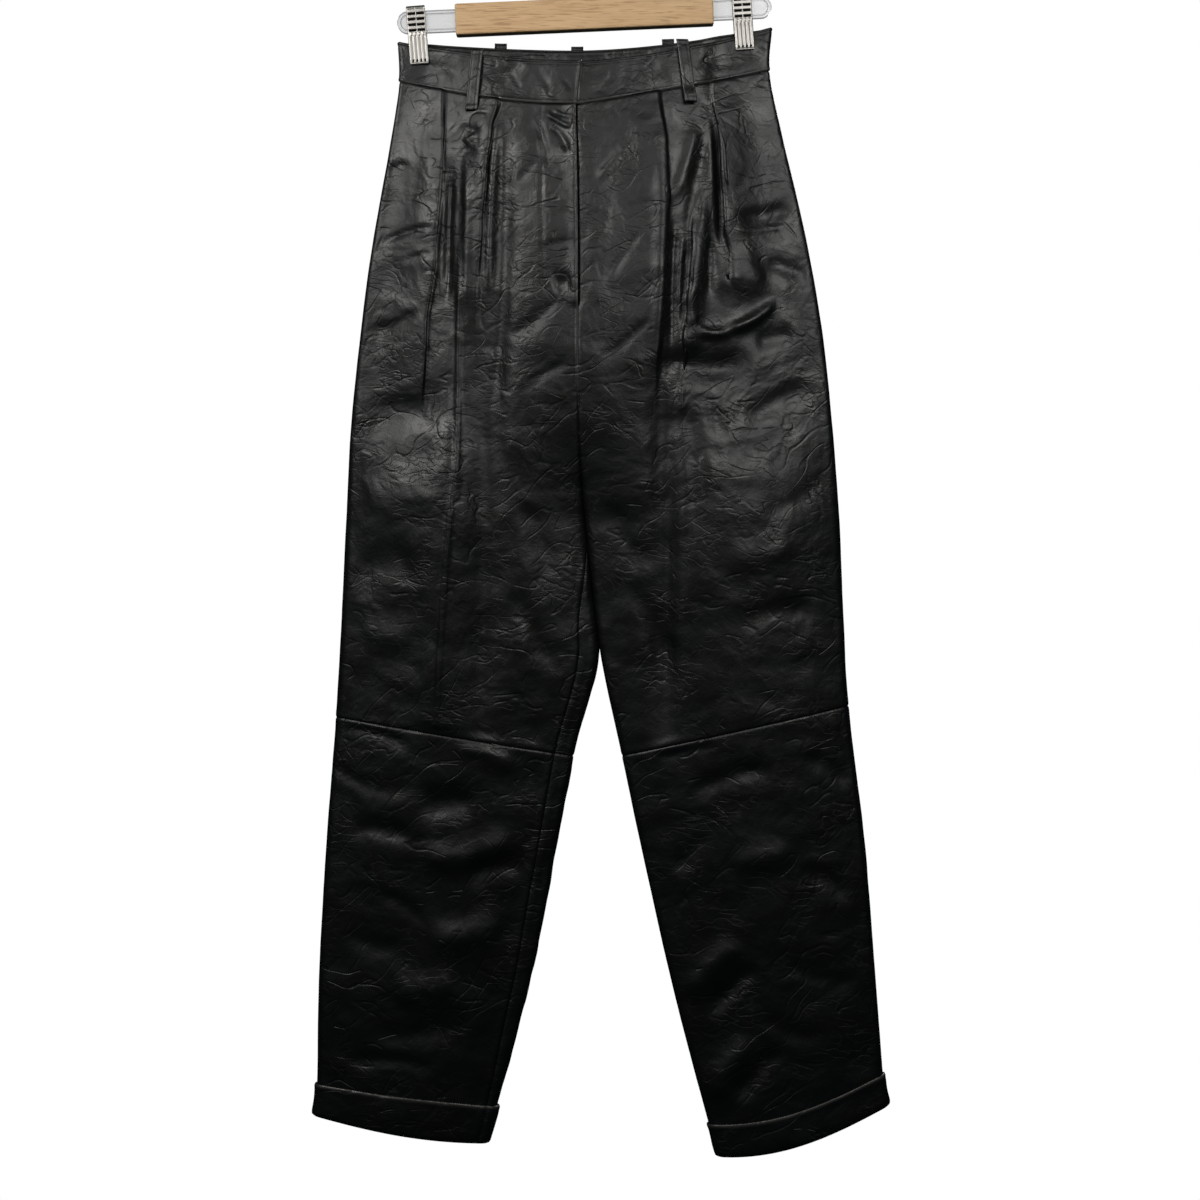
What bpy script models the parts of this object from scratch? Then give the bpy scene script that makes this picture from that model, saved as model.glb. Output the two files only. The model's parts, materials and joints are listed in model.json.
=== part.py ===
"""Pleated high-waist leather trousers hanging from a clip hanger.

Every cloth piece lies on one of two half tubes, left and right of the centre seams. A half
tube is described by a table of levels, from the waist's top edge to the hem; a point on it is
given by a level number and a distance round the section. Left and right are as seen from the
front, which faces -Y. All tables are in millimetres, and the origin is where the hook hangs.
"""

import math
from collections import namedtuple
from functools import partial

import bmesh
import bpy
from mathutils import Matrix, Vector

MM = 0.001

# ---------------------------------------------------------------------------
# Driving sizes, in millimetres
# ---------------------------------------------------------------------------

LEATHER = 1.3  # wall of a leather panel
BAND_WALL = 1.7  # the doubled, faced waistband
SEAM_GAP = 0.3  # between two pieces that are sewn together
BAND_PROUD = 0.5  # the band stands this far outside the panels
CUFF_PROUD = 0.4  # air between the leg and its turn-up
CUFF_WALL = 1.5
CUFF_SWELL = 0.4  # the turn-up's face is slightly rounded
CUFF_TUCK = 0.45  # how far the turn-up reaches up inside, as a share of its height
CUFF_FLOOR = 0.055  # how thick its fold is below the leg's own edge, likewise
HEM_RISE = 0.075  # how high the leg's own edge stops above the lowest point, likewise
HEM_FLAT = 1.0  # half the width of the fold's flat underside
LOOP_WIDTH = 11.0
LOOP_WALL = 1.6
LOOP_SEAT = 0.5  # a belt loop's ends stand this far off the band
LOOP_ARCH = 2.2  # and its middle this much further
LOOP_ARCH_POWER = 0.7  # below 1, the arch is full near the ends
LOOP_BAND_SHARE = 0.7  # how much of a belt loop lies over the band
LOOP_EASE = 0.2  # the share over which it clears a pleat, below that
CLIP_PINCH = 3.3  # half the waist's thickness between the jaws of a clip
PINCH_REACH = 24.0  # how far along the band a clip's pinch is felt
PINCH_LEVEL = 0.7  # the level down to which it is, and the levels over which it fades
PINCH_FADE = 1.3
SEAM_STEP = 0.0035  # half a seam gap, as a share of the height between two levels
LEVEL_STEP = 0.02  # how near the levels are that give the surface's slope
NEAR = 1.2  # and how near the places are, round the section
TORSO_FULLNESS = 1.3  # how late the front swells, going in from the side
LEG_FULLNESS = 0.9
CLOSING = 2.0  # levels above the crotch over which the two legs part
FOLD_CLOSES = 3  # how early in that the fold between the legs has its full radius

# One row for each height, for the left and the right half. x and z are on the side edge and on
# the middle line (the centre seam, then the leg's inner edge). bow says how a level's height
# runs from side to middle: 0 straight, 1 a quarter sine. front and back are how far the cloth
# swells, edge is the radius of the fold at the side, lift raises the back's middle.
Level = namedtuple("Level", "name x_side x_mid z_side z_mid bow front back edge lift")

LEFT_LEVELS = [
    Level("waist_top", -169, -6, -130, -150, 1.0, 13, 12, 3.2, 16),
    Level("waist_seam", -168, -10, -166, -190, 1.0, 17, 15, 3.4, 15),
    Level("pocket", -177, -9, -226, -237, 0.8, 22, 21, 4.2, 12),
    Level("hip", -193, -8, -317, -322, 0.5, 25, 27, 5.0, 9),
    Level("fly_end", -204, -8, -402, -405, 0.3, 26, 30, 5.6, 6),
    Level("seat", -212, -6, -484, -488, 0.0, 26, 30, 6.0, 3),
    Level("crotch", -216, -1, -562, -562, 0.0, 24, 26, 6.2, 0),
    Level("fork", -220, 12, -652, -676, 0.0, 20, 22, 6.2, 0),
    Level("knee", -225, -11, -737, -772, 0.0, 18, 19, 6.2, 0),
    Level("shin", -234, -30, -857, -882, 0.0, 15, 17, 6.2, 0),
    Level("ankle", -240, -54, -966, -990, 0.0, 13, 15, 6.2, 0),
    Level("cuff_top", -242, -79, -1066, -1086, 0.0, 12, 13, 6.2, 0),
    Level("hem", -245, -88, -1095, -1120, 0.6, 12, 13, 6.2, 0),
]

RIGHT_LEVELS = [
    Level("waist_top", 167, -6, -117, -150, 0.8, 13, 12, 3.2, 16),
    Level("waist_seam", 165, -10, -156, -190, 0.3, 17, 15, 3.4, 15),
    Level("pocket", 177, -9, -216, -237, 0.3, 22, 21, 4.2, 12),
    Level("hip", 198, -8, -306, -322, 0.3, 25, 27, 5.0, 9),
    Level("fly_end", 213, -8, -393, -405, 0.2, 26, 30, 5.6, 6),
    Level("seat", 222, -6, -478, -488, 0.0, 26, 30, 6.0, 3),
    Level("crotch", 228, -1, -560, -562, 0.0, 24, 26, 6.2, 0),
    Level("fork", 232, 12, -650, -676, 0.0, 20, 22, 6.2, 0),
    Level("knee", 236, 32, -727, -772, 0.0, 18, 19, 6.2, 0),
    Level("shin", 250, 56, -845, -885, 0.3, 15, 17, 6.2, 0),
    Level("ankle", 259, 82, -951, -997, 0.7, 13, 15, 6.2, 0),
    Level("cuff_top", 267, 110, -1057, -1102, 1.0, 12, 13, 6.2, 0),
    Level("hem", 272, 118, -1086, -1132, 1.0, 12, 13, 6.2, 0),
]

LEVEL = {row.name: number for number, row in enumerate(LEFT_LEVELS)}

# Where the seams lie on the section: how far the inseam has come forward of the leg's inner
# edge, and how far the side seam has come forward of the side edge, at each level.
SeamShift = namedtuple("SeamShift", "level inseam side")

LEFT_SEAMS = [
    SeamShift("waist_top", 0, 0),
    SeamShift("crotch", 0, 0),
    SeamShift("fork", 21, 0),
    SeamShift("knee", 20, 0),
    SeamShift("shin", 21, 0),
    SeamShift("ankle", 17, 0),
    SeamShift("cuff_top", 13, 0),
    SeamShift("hem", 13, 0),
]
RIGHT_SEAMS = [
    SeamShift("waist_top", 0, 0),
    SeamShift("crotch", 0, 0),
    SeamShift("fork", 0, 1),
    SeamShift("knee", 0, 3),
    SeamShift("shin", 0, 4),
    SeamShift("ankle", 0, 2),
    SeamShift("cuff_top", 0, 1),
    SeamShift("hem", 0, 1),
]

# A pleat is a step in the front: one side of its edge line is raised and hangs over the other.
# toward says which side is raised, reach how far that side takes to settle. A row gives the
# edge line's place and the step's height and overhang there. Where both are 0 the pleat has
# run out, and the line only leads the columns of faces.
Pleat = namedtuple("Pleat", "toward reach rows")
PleatRow = namedtuple("PleatRow", "z x height overhang")

SIDE, CENTRE = 1, -1

OUTER_LEFT_PLEAT = Pleat(
    SIDE,
    44,
    [
        PleatRow(-186, -127, 3.2, 0.0),
        PleatRow(-215, -127, 5.5, 1.2),
        PleatRow(-250, -128, 7.0, 2.2),
        PleatRow(-325, -134, 7.5, 2.2),
        PleatRow(-390, -142, 6.5, 1.6),
        PleatRow(-440, -144, 4.5, 0.4),
        PleatRow(-480, -144, 0.0, 0.0),
        PleatRow(-775, -150, 0.0, 0.0),
    ],
)
INNER_LEFT_PLEAT = Pleat(
    SIDE,
    22,
    [
        PleatRow(-186, -77, 3.0, 0.0),
        PleatRow(-212, -84, 5.5, 1.0),
        PleatRow(-250, -89, 6.5, 1.8),
        PleatRow(-300, -92, 5.5, 1.2),
        PleatRow(-362, -95, 3.0, 0.0),
        PleatRow(-450, -97, 1.5, 0.0),
        PleatRow(-560, -98, 1.5, 0.0),
        PleatRow(-775, -105, 0.0, 0.0),
    ],
)
OUTER_RIGHT_PLEAT = Pleat(
    SIDE,
    40,
    [
        PleatRow(-180, 113, 3.2, 0.0),
        PleatRow(-205, 116, 5.5, 1.2),
        PleatRow(-245, 118, 7.0, 2.0),
        PleatRow(-290, 121, 6.5, 1.4),
        PleatRow(-325, 128, 3.5, 0.0),
        PleatRow(-370, 134, 0.0, 0.0),
        PleatRow(-775, 160, 0.0, 0.0),
    ],
)
MIDDLE_RIGHT_PLEAT = Pleat(
    SIDE,
    19,
    [
        PleatRow(-180, 93, 2.4, 0.0),
        PleatRow(-215, 94, 4.5, 0.8),
        PleatRow(-260, 94, 6.0, 1.6),
        PleatRow(-330, 91, 7.0, 2.0),
        PleatRow(-395, 86, 5.0, 0.6),
        PleatRow(-440, 84, 0.5, 0.0),
        PleatRow(-775, 115, 0.0, 0.0),
    ],
)
INNER_RIGHT_PLEAT = Pleat(
    CENTRE,
    46,
    [
        PleatRow(-180, 66, 3.0, 0.0),
        PleatRow(-225, 72, 5.5, 1.2),
        PleatRow(-275, 73, 6.5, 2.0),
        PleatRow(-335, 70, 6.0, 1.6),
        PleatRow(-406, 66, 4.5, 0.4),
        PleatRow(-460, 65, 3.0, 0.0),
        PleatRow(-560, 66, 1.5, 0.0),
        PleatRow(-775, 82, 0.0, 0.0),
    ],
)
PLEATS = {
    "left": [OUTER_LEFT_PLEAT, INNER_LEFT_PLEAT],
    "right": [OUTER_RIGHT_PLEAT, MIDDLE_RIGHT_PLEAT, INNER_RIGHT_PLEAT],
}
PLEAT_WIDTH = 3.2  # half the width of the step, across its edge line
PLEAT_STATIONS = (-1.0, -0.5, 0.0, 0.5, 1.0)

# Faces down each stretch between two levels, and round each stretch between the pleats
UPPER_ROWS = {
    "waist_seam": 4,
    "pocket": 5,
    "hip": 5,
    "fly_end": 4,
    "seat": 4,
    "crotch": 4,
    "fork": 3,
}
LOWER_ROWS = {"knee": 4, "shin": 3, "ankle": 4, "cuff_top": 1}
FRONT_STRETCHES = {"left": (6, 4, 7), "right": (6, 2, 2, 6)}
SHIN_FACES = 11
FOLD_FACES = 5  # close together, where a back panel turns round the leg's inner fold
BACK_FACES = 10  # over the rest of it
SHIN_BACK_FACES = 7
FOLD_SHARE = 0.14  # how much of the back panel those close faces cover
BAND_ROWS = 2
BAND_FACES = 14
LOOP_ROWS = 7
HOOK_S_STEPS = 6
HOOK_BEND_STEPS = 15

# The belt loops: the middle of each end, and how much further the lower end stands off, where
# it crosses a pleat.
BeltLoop = namedtuple("BeltLoop", "name half face x_top z_top x_bottom z_bottom clear")
BELT_LOOPS = [
    BeltLoop("belt_loop_front_left", "left", "front", -97, -139, -102, -195, 0.8),
    BeltLoop("belt_loop_front_right", "right", "front", 86, -130, 93, -188, 3.4),
    BeltLoop("belt_loop_back_left", "left", "back", -77, -128, -79, -184, 0.0),
    BeltLoop("belt_loop_back_centre", "left", "back", -8, -130, -9, -186, 0.0),
    BeltLoop("belt_loop_back_right", "right", "back", 74, -124, 76, -180, 0.0),
]

# The clips, in the tilted hanger's own frame: how far each is from the middle of the bar, and
# how far it leans, in degrees.
Clip = namedtuple("Clip", "name x lean")
CLIPS = [Clip("clip_left", -151, 2.0), Clip("clip_right", 142, 1.4)]

HANGER_TILT = 2.5  # degrees, right end up
BAR_DROP = 105.5  # the bars' centre line, below the point where the hook hangs
BAR_SHIFT = -6.1  # the bars' middle, beside that point
BAR_LENGTH = 337.0
BAR_HEIGHT = 20.0
BAR_THICK = 5.0
BAR_END_ROUND = 9.9
WOOD_LENGTH = 232.0
WOOD_HEIGHT = 28.0
WOOD_THICK = 14.0
WOOD_ROUND = 1.5
FIT = 0.3  # air between the hanger's own pieces
CLIP_WIDTH = 17.0
CLIP_WALL = 1.4
CLIP_TOP = 15.0  # above the bar's centre line
CLIP_REACH = 39.0  # below it
CLIP_JAW = 4.3  # half the opening between the jaws
CLIP_JAW_TOP = 17.0  # where the jaws begin, below the bar's centre line
CLIP_NECK = 12.5  # where the clip starts to widen towards them, likewise
CLIP_RIBS_END = 10.0  # where the lowest rib ends, likewise
CLIP_CORNER = 0.7  # the rounding of the clip's top
CLIP_RIB = 0.8  # how far the ribs over the bar stand out
CLIP_RIBS = 4
RIB_SHARE = 0.6  # of the pitch is rib, and this much more is its lower slope
RIB_SLOPE = 0.15
HOOK_WIRE = 2.0  # radius
HOOK_BEND = 19.0  # radius of the bend, on the wire's centre line
HOOK_START = -50.0  # degrees round the bend, from its right side
HOOK_END = 205.0
SHANK_TOP = 66.0  # below the hanging point, where the shank starts to bend
SHANK_EASE = 16.0  # how gently it does


# ---------------------------------------------------------------------------
# The half tubes
# ---------------------------------------------------------------------------


def smooth(part):
    part = min(max(part, 0.0), 1.0)
    return part * part * (3 - 2 * part)


def between(values, number):
    """A smooth curve through equally spaced values, read at any number."""
    number = min(max(number, 0.0), len(values) - 1.0)
    low = min(int(number), len(values) - 2)
    part = number - low
    here, there = values[low], values[low + 1]
    slope_here = (there - values[low - 1]) / 2 if low > 0 else there - here
    slope_there = (values[low + 2] - here) / 2 if low + 2 < len(values) else there - here
    square, cube = part**2, part**3
    return (
        (2 * cube - 3 * square + 1) * here
        + (cube - 2 * square + part) * slope_here
        + (3 * square - 2 * cube) * there
        + (cube - square) * slope_there
    )


def table_value(places, values, place):
    """A value of a table, eased between the two places on either side."""
    if place <= places[0]:
        return values[0]
    for low in range(len(places) - 1):
        if place <= places[low + 1]:
            part = (place - places[low]) / (places[low + 1] - places[low])
            return values[low] + smooth(part) * (values[low + 1] - values[low])
    return values[-1]


def round_end(distance, radius):
    """Half the thickness of a rounded fold, at a distance in from its edge."""
    inside = radius - min(max(distance, 0.0), radius)
    return math.sqrt(max(radius * radius - inside * inside, 0.0))


class Half:
    """One half of the garment: one leg, and the same side of the hips. A place is a distance
    round the section: from the side edge across the front to the middle, and back behind."""

    def __init__(self, name, levels, seams, pleats, clip_x):
        self.name = name
        self.inward = 1 if name == "left" else -1
        self.columns = {
            field: [getattr(row, field) for row in levels] for field in Level._fields[1:]
        }
        self.seam_levels = [LEVEL[row.level] for row in seams]
        self.inseams = [row.inseam for row in seams]
        self.side_seams = [row.side for row in seams]
        self.pleats = pleats
        self.clip_x = clip_x

    def value(self, field, level):
        values = self.columns[field]
        if field == "x_mid" and level <= LEVEL["fork"]:
            values = values[: LEVEL["fork"] + 1]  # one line, where the two halves touch
        return between(values, level)

    def width(self, level):
        return abs(self.value("x_side", level) - self.value("x_mid", level)) - SEAM_GAP / 2

    def closed(self, level):
        """0 where the half is open to the other half, 1 where the leg is a tube of its own."""
        above = (LEVEL["crotch"] - level) / CLOSING
        return 1 - math.sqrt(min(max(above, 0.0), 1.0))

    def middle_radius(self, level):
        return self.value("edge", level) * min(1.0, FOLD_CLOSES * self.closed(level))

    def length(self, level):
        """From the side edge to the middle, round the folds."""
        folds = self.value("edge", level) + self.middle_radius(level)
        return self.width(level) + folds * (math.pi / 2 - 1)

    def distance(self, level, place):
        """How far in from the side edge a place on one face is."""
        radius = self.value("edge", level)
        if place < radius * math.pi / 2:
            return radius * (1 - math.cos(place / radius))
        inner = self.middle_radius(level)
        left_over = max(self.length(level) - place, 0.0)
        if left_over < inner * math.pi / 2:
            return self.width(level) - inner * (1 - math.cos(left_over / inner))
        return radius + place - radius * math.pi / 2

    def depth(self, face, level, distance):
        """How far in front of or behind the middle plane the plain cloth lies."""
        width = self.width(level)
        part = min(max(distance / width, 0.0), 1.0)
        radius = self.value("edge", level)
        swell = self.value(face, level)
        side = round_end(distance, radius)
        torso = side + swell * math.sin(math.pi / 2 * part) ** TORSO_FULLNESS
        middle = round_end(width - distance, radius)
        leg = min(side, middle) + swell * max(math.sin(math.pi * part), 0.0) ** LEG_FULLNESS
        closed = self.closed(level)
        depth = (1 - closed) * torso + closed * leg
        x = self.value("x_side", level) + self.inward * distance
        near_clip = math.exp(-(((x - self.clip_x) / PINCH_REACH) ** 4))
        near_top = 1 - smooth((level - PINCH_LEVEL) / PINCH_FADE)
        return depth - max(depth - CLIP_PINCH, 0.0) * near_clip * near_top

    def height(self, face, level, distance):
        part = min(max(distance / self.width(level), 0.0), 1.0)
        bow = self.value("bow", level)
        run = (1 - bow) * part + bow * math.sin(math.pi / 2 * part)
        side, middle = self.value("z_side", level), self.value("z_mid", level)
        if face == "back":
            middle += self.value("lift", level)
        return side + (middle - side) * run

    def on_face(self, face, level, distance, raised=0.0):
        x = self.value("x_side", level) + self.inward * distance
        depth = self.depth(face, level, distance) + raised
        y = -depth if face == "front" else depth
        return Vector((x, y, self.height(face, level, distance)))

    def point(self, level, place, raised=0.0, sideways=0.0, behind=False):
        """A point of the outer surface. behind tells the centre back from the centre front."""
        length = self.length(level)
        face = "front"
        if place < 0:
            face, place = "back", -place
        elif place > 2 * length:
            place -= 2 * length
        elif place > length or (behind and place == length):
            face, place = "back", 2 * length - place
        return self.on_face(face, level, self.distance(level, place) + sideways, raised)

    def inseam(self, level):
        """The place of the centre seam, or of the inseam below the crotch."""
        return self.length(level) - table_value(self.seam_levels, self.inseams, level)

    def side_seam(self, level):
        return table_value(self.seam_levels, self.side_seams, level)

    def outward(self, across, down):
        """The outward direction, from two directions that lie in the surface."""
        normal = down.cross(across) * self.inward
        return normal.normalized()


def hanger_point(x, y, z):
    """A point of the tilted hanger, from its place beside and above the bars' middle."""
    turn = Matrix.Rotation(math.radians(-HANGER_TILT), 3, "Y")
    return turn @ Vector((x + BAR_SHIFT, y, z - BAR_DROP))


# ---------------------------------------------------------------------------
# Meshes from sheets of points
# ---------------------------------------------------------------------------


def make_material(name, colour, roughness, metallic=0.0):
    material = bpy.data.materials.new(name)
    material.use_nodes = True
    shader = material.node_tree.nodes["Principled BSDF"]
    shader.inputs["Base Color"].default_value = (*colour, 1)
    shader.inputs["Roughness"].default_value = roughness
    shader.inputs["Metallic"].default_value = metallic
    return material


def add_object(name, form, material, collection):
    """Turns a finished bmesh into an object of the collection."""
    bmesh.ops.recalc_face_normals(form, faces=form.faces[:])
    mesh = bpy.data.meshes.new(name)
    form.to_mesh(mesh)
    form.free()
    mesh.materials.append(material)
    piece = bpy.data.objects.new(name, mesh)
    collection.objects.link(piece)
    return piece


def numbered_grid(columns, rows):
    """A bmesh grid whose vertices carry their row and column."""
    form = bmesh.new()
    row_of = form.verts.layers.int.new("row")
    column_of = form.verts.layers.int.new("column")
    bmesh.ops.create_grid(form, x_segments=columns, y_segments=rows, size=0.5)
    for vert in form.verts:
        vert[column_of] = round((vert.co.x + 0.5) * columns)
        vert[row_of] = round((vert.co.y + 0.5) * rows)
    return form, row_of, column_of


def shell(name, outer, inner, material, collection):
    """A wall between two sheets of points of the same size, given row by row."""
    form, row_of, column_of = numbered_grid(len(outer[0]) - 1, len(outer) - 1)
    wall = bmesh.ops.extrude_face_region(form, geom=form.faces[:])
    lifted = {item for item in wall["geom"] if isinstance(item, bmesh.types.BMVert)}
    for vert in form.verts:
        sheet = outer if vert in lifted else inner
        vert.co = sheet[vert[row_of]][vert[column_of]] * MM
    return add_object(name, form, material, collection)


def closed_band(name, loops, material, collection):
    """A ring whose section is a closed loop: both ways round, the sheet meets itself."""
    rows, columns = len(loops), len(loops[0])
    form, row_of, column_of = numbered_grid(columns, rows)
    for vert in form.verts:
        vert.co = loops[vert[row_of] % rows][vert[column_of] % columns] * MM
    bmesh.ops.remove_doubles(form, verts=form.verts[:], dist=1e-6)
    return add_object(name, form, material, collection)


def row_levels(faces_in):
    """Level numbers of the rows of points, from the faces wanted between named levels."""
    numbers = []
    for name, count in faces_in.items():
        numbers += [LEVEL[name] + step / count for step in range(count)]
        last = LEVEL[name] + 1.0
    numbers.append(last)
    numbers[0] += SEAM_STEP
    numbers[-1] -= SEAM_STEP
    return numbers


def eased(count, start_power=1.0, end_power=1.0):
    """Parts from 0 to 1 that crowd towards a rounded fold at either end."""
    parts = [step / count for step in range(count + 1)]
    return [
        (1 - part) * part**start_power + part * (1 - (1 - part) ** end_power)
        for part in parts
    ]


# ---------------------------------------------------------------------------
# The panels' columns: each is a place round the section, a raise and a sideways shift
# ---------------------------------------------------------------------------


def pleat_state(half, pleat, level):
    """Distance from the side, height and overhang of a pleat where a level crosses it."""
    places = [-row.z for row in pleat.rows]
    distance = half.width(level) / 2
    for _ in range(3):
        z = half.height("front", level, distance)
        x = table_value(places, [row.x for row in pleat.rows], -z)
        distance = abs(half.value("x_side", level) - x)
    height = table_value(places, [row.height for row in pleat.rows], -z)
    overhang = table_value(places, [row.overhang for row in pleat.rows], -z)
    return distance, height, overhang


def raise_of(states, distance, own=None):
    """The raise that all the pleats but one give at a distance from the side."""
    total = 0.0
    for pleat, (edge, height, _) in states:
        gap = (edge - distance) * pleat.toward
        if pleat is not own and gap > 0:
            total += height * (1 - smooth((gap - PLEAT_WIDTH) / pleat.reach))
    return total


def front_columns(half, level):
    states = [(pleat, pleat_state(half, pleat, level)) for pleat in half.pleats]
    fold_extra = half.value("edge", level) * (math.pi / 2 - 1)
    start = half.side_seam(level)
    columns = []
    for order, count in enumerate(FRONT_STRETCHES[half.name]):
        last = order == len(states)
        edge = half.inseam(level) if last else states[order][1][0] + fold_extra
        end = edge if last else edge - PLEAT_WIDTH
        parts = eased(count, 1.5 if order == 0 else 1.0, 1.5 if last else 1.0)
        for part in parts[0 if order == 0 else 1 : None if last else -1]:
            place = start + (end - start) * part
            columns.append((place, raise_of(states, half.distance(level, place)), 0.0))
        if last:
            break
        pleat, (_, height, overhang) = states[order]
        for station in PLEAT_STATIONS:
            place = edge + PLEAT_WIDTH * station
            own = height * (0.5 - 0.5 * math.sin(math.pi / 2 * station * pleat.toward))
            others = raise_of(states, half.distance(level, place), own=pleat)
            shift = -overhang * math.sin(math.pi * station)
            columns.append((place, own + others, shift))
        start = edge + PLEAT_WIDTH
    return columns


def back_parts(count):
    """Parts of a back panel's width: close together at the inner fold, then wide."""
    close = [FOLD_SHARE * step / FOLD_FACES for step in range(FOLD_FACES)]
    return close + [
        FOLD_SHARE + (1 - FOLD_SHARE) * part for part in eased(count, 1.2, 1.5)
    ]


def plain_columns(half, face, parts, level):
    """Columns of a plain panel. The back's run on from the front's, past the middle."""
    if face == "front":
        start, end = half.side_seam(level), half.inseam(level)
    else:
        start = half.inseam(level)
        end = 2 * half.length(level) + half.side_seam(level)
    return [(start + (end - start) * part, 0.0, 0.0) for part in parts]


def seam_neighbours(half, level, place, face, at_side):
    """Points of the plain tube just before and after a seam, in the columns' direction."""
    if at_side or half.closed(level) == 1:
        return half.point(level, place - NEAR), half.point(level, place + NEAR)
    near = half.point(level, place - NEAR if face == "front" else place + NEAR)
    far = near + Vector((half.inward * NEAR, 0, 0))
    return (near, far) if face == "front" else (far, near)


def sheets(half, face, levels, columns_at, wall, proud):
    """Outer and inner points of a panel, row by row. The inner points follow the tube's own
    outward direction, so that the edges of two panels stay parallel where they meet."""
    outer, inner = [], []
    behind = face == "back"
    for level in levels:
        columns = columns_at(level)
        line = [half.point(level, *column, behind=behind) for column in columns]
        above, below = (
            [half.point(near, *column, behind=behind) for column in columns_at(near)]
            for near in (level - LEVEL_STEP, level + LEVEL_STEP)
        )
        last = len(line) - 1
        outer_row, inner_row = [], []
        for order, point in enumerate(line):
            at_seam = order in (0, last)
            at_side = order == (last if behind else 0)
            before, after = line[max(order - 1, 0)], line[min(order + 1, last)]
            if at_seam:
                place = columns[order][0]
                if at_side and behind:
                    place -= 2 * half.length(level)
                before, after = seam_neighbours(half, level, place, face, at_side)
            across = after - before
            normal = half.outward(across, below[order] - above[order])
            if at_seam and not at_side and half.closed(level) < 1:
                normal = Vector((0, normal.y, normal.z)).normalized()
            elif at_seam:
                inset = SEAM_GAP / 2 * (1 if order == 0 else -1)
                point = point + across.normalized() * inset
            outer_row.append(point + normal * proud)
            inner_row.append(point + normal * (proud - wall))
        outer.append(outer_row)
        inner.append(inner_row)
    return outer, inner


# ---------------------------------------------------------------------------
# The sewn pieces
# ---------------------------------------------------------------------------


def add_panels(half, material, collection):
    """The upper front and back, and below the knee seam the two shin panels."""
    upper, lower = row_levels(UPPER_ROWS), row_levels(LOWER_ROWS)
    lower[-1] = LEVEL["hem"] - HEM_RISE
    points = sheets(
        half, "front", upper, lambda level: front_columns(half, level), LEATHER, 0.0
    )
    shell(f"front_{half.name}", *points, material, collection)
    for name, face, levels, parts in (
        ("back", "back", upper, back_parts(BACK_FACES)),
        ("shin_front", "front", lower, eased(SHIN_FACES, 1.5, 1.5)),
        ("shin_back", "back", lower, back_parts(SHIN_BACK_FACES)),
    ):
        columns_at = partial(plain_columns, half, face, parts)
        points = sheets(half, face, levels, columns_at, LEATHER, 0.0)
        shell(f"{name}_{half.name}", *points, material, collection)


def add_waistband(left, right, material, collection):
    """Two front bands that meet at the centre front, and one back band in a single piece."""
    levels = [step / BAND_ROWS for step in range(BAND_ROWS + 1)]
    levels[-1] -= SEAM_STEP
    for half in (left, right):
        columns_at = partial(plain_columns, half, "front", eased(BAND_FACES, 1.6))
        points = sheets(half, "front", levels, columns_at, BAND_WALL, BAND_PROUD)
        shell(f"waistband_front_{half.name}", *points, material, collection)
    whole = []
    for half in (left, right):
        columns_at = partial(plain_columns, half, "back", eased(BAND_FACES, 1.0, 1.6))
        whole.append(sheets(half, "back", levels, columns_at, BAND_WALL, BAND_PROUD))
    points = [
        [row_left[::-1] + row_right[1:] for row_left, row_right in zip(*pair)]
        for pair in zip(*whole)
    ]
    shell("waistband_back", *points, material, collection)


def add_cuff(half, material, collection):
    """The turn-up: the hem's cloth turned out and up round the leg, with its fold below. Its
    section goes up the face, over the top edge, down beside the leg, under the leg's own edge
    and back up inside."""
    top, hem = LEVEL["cuff_top"], LEVEL["hem"]
    face = CUFF_PROUD + CUFF_WALL
    beside = -(LEATHER + CUFF_PROUD)
    inside = beside - CUFF_WALL
    floor = hem - CUFF_FLOOR
    section = [
        (hem, (face + inside) / 2 + HEM_FLAT),
        (hem - CUFF_FLOOR / 2, face),
        ((top + hem) / 2, face + CUFF_SWELL),
        (top, face),
        (top, CUFF_PROUD),
        (floor, CUFF_PROUD),
        (floor, beside),
        (hem - CUFF_TUCK, beside),
        (hem - CUFF_TUCK, inside),
        (hem - CUFF_FLOOR / 2, inside),
        (hem, (face + inside) / 2 - HEM_FLAT),
    ]
    loops = []
    for level, offset in section:
        columns = plain_columns(half, "front", eased(SHIN_FACES, 1.5, 1.5), level)[:-1]
        columns += plain_columns(half, "back", back_parts(SHIN_BACK_FACES), level)[:-1]
        loop = []
        for place, _, _ in columns:
            point = half.point(level, place)
            across = half.point(level, place + NEAR) - half.point(level, place - NEAR)
            normal = half.outward(across, point - half.point(level - LEVEL_STEP, place))
            loop.append(point + normal * offset)
        loops.append(loop)
    closed_band(f"cuff_{half.name}", loops, material, collection)


def skin(half, face, x, z):
    """The plain surface's point at a height, and its outward direction. Above the band's top
    edge the surface is carried straight up."""
    low, high = LEVEL["waist_top"], LEVEL["hip"]
    while high - low > LEVEL_STEP / 100:
        level = (low + high) / 2
        distance = abs(x - half.value("x_side", level))
        if half.height(face, level, distance) > z:
            low = level
        else:
            high = level
    point = half.on_face(face, level, distance)
    slope = (
        half.on_face(face, level, distance + NEAR).y
        - half.on_face(face, level, distance - NEAR).y
    ) / (2 * NEAR * half.inward)
    normal = Vector((-slope, 1, 0)).normalized()
    return Vector((x, point.y, z)), -normal if face == "front" else normal


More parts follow.
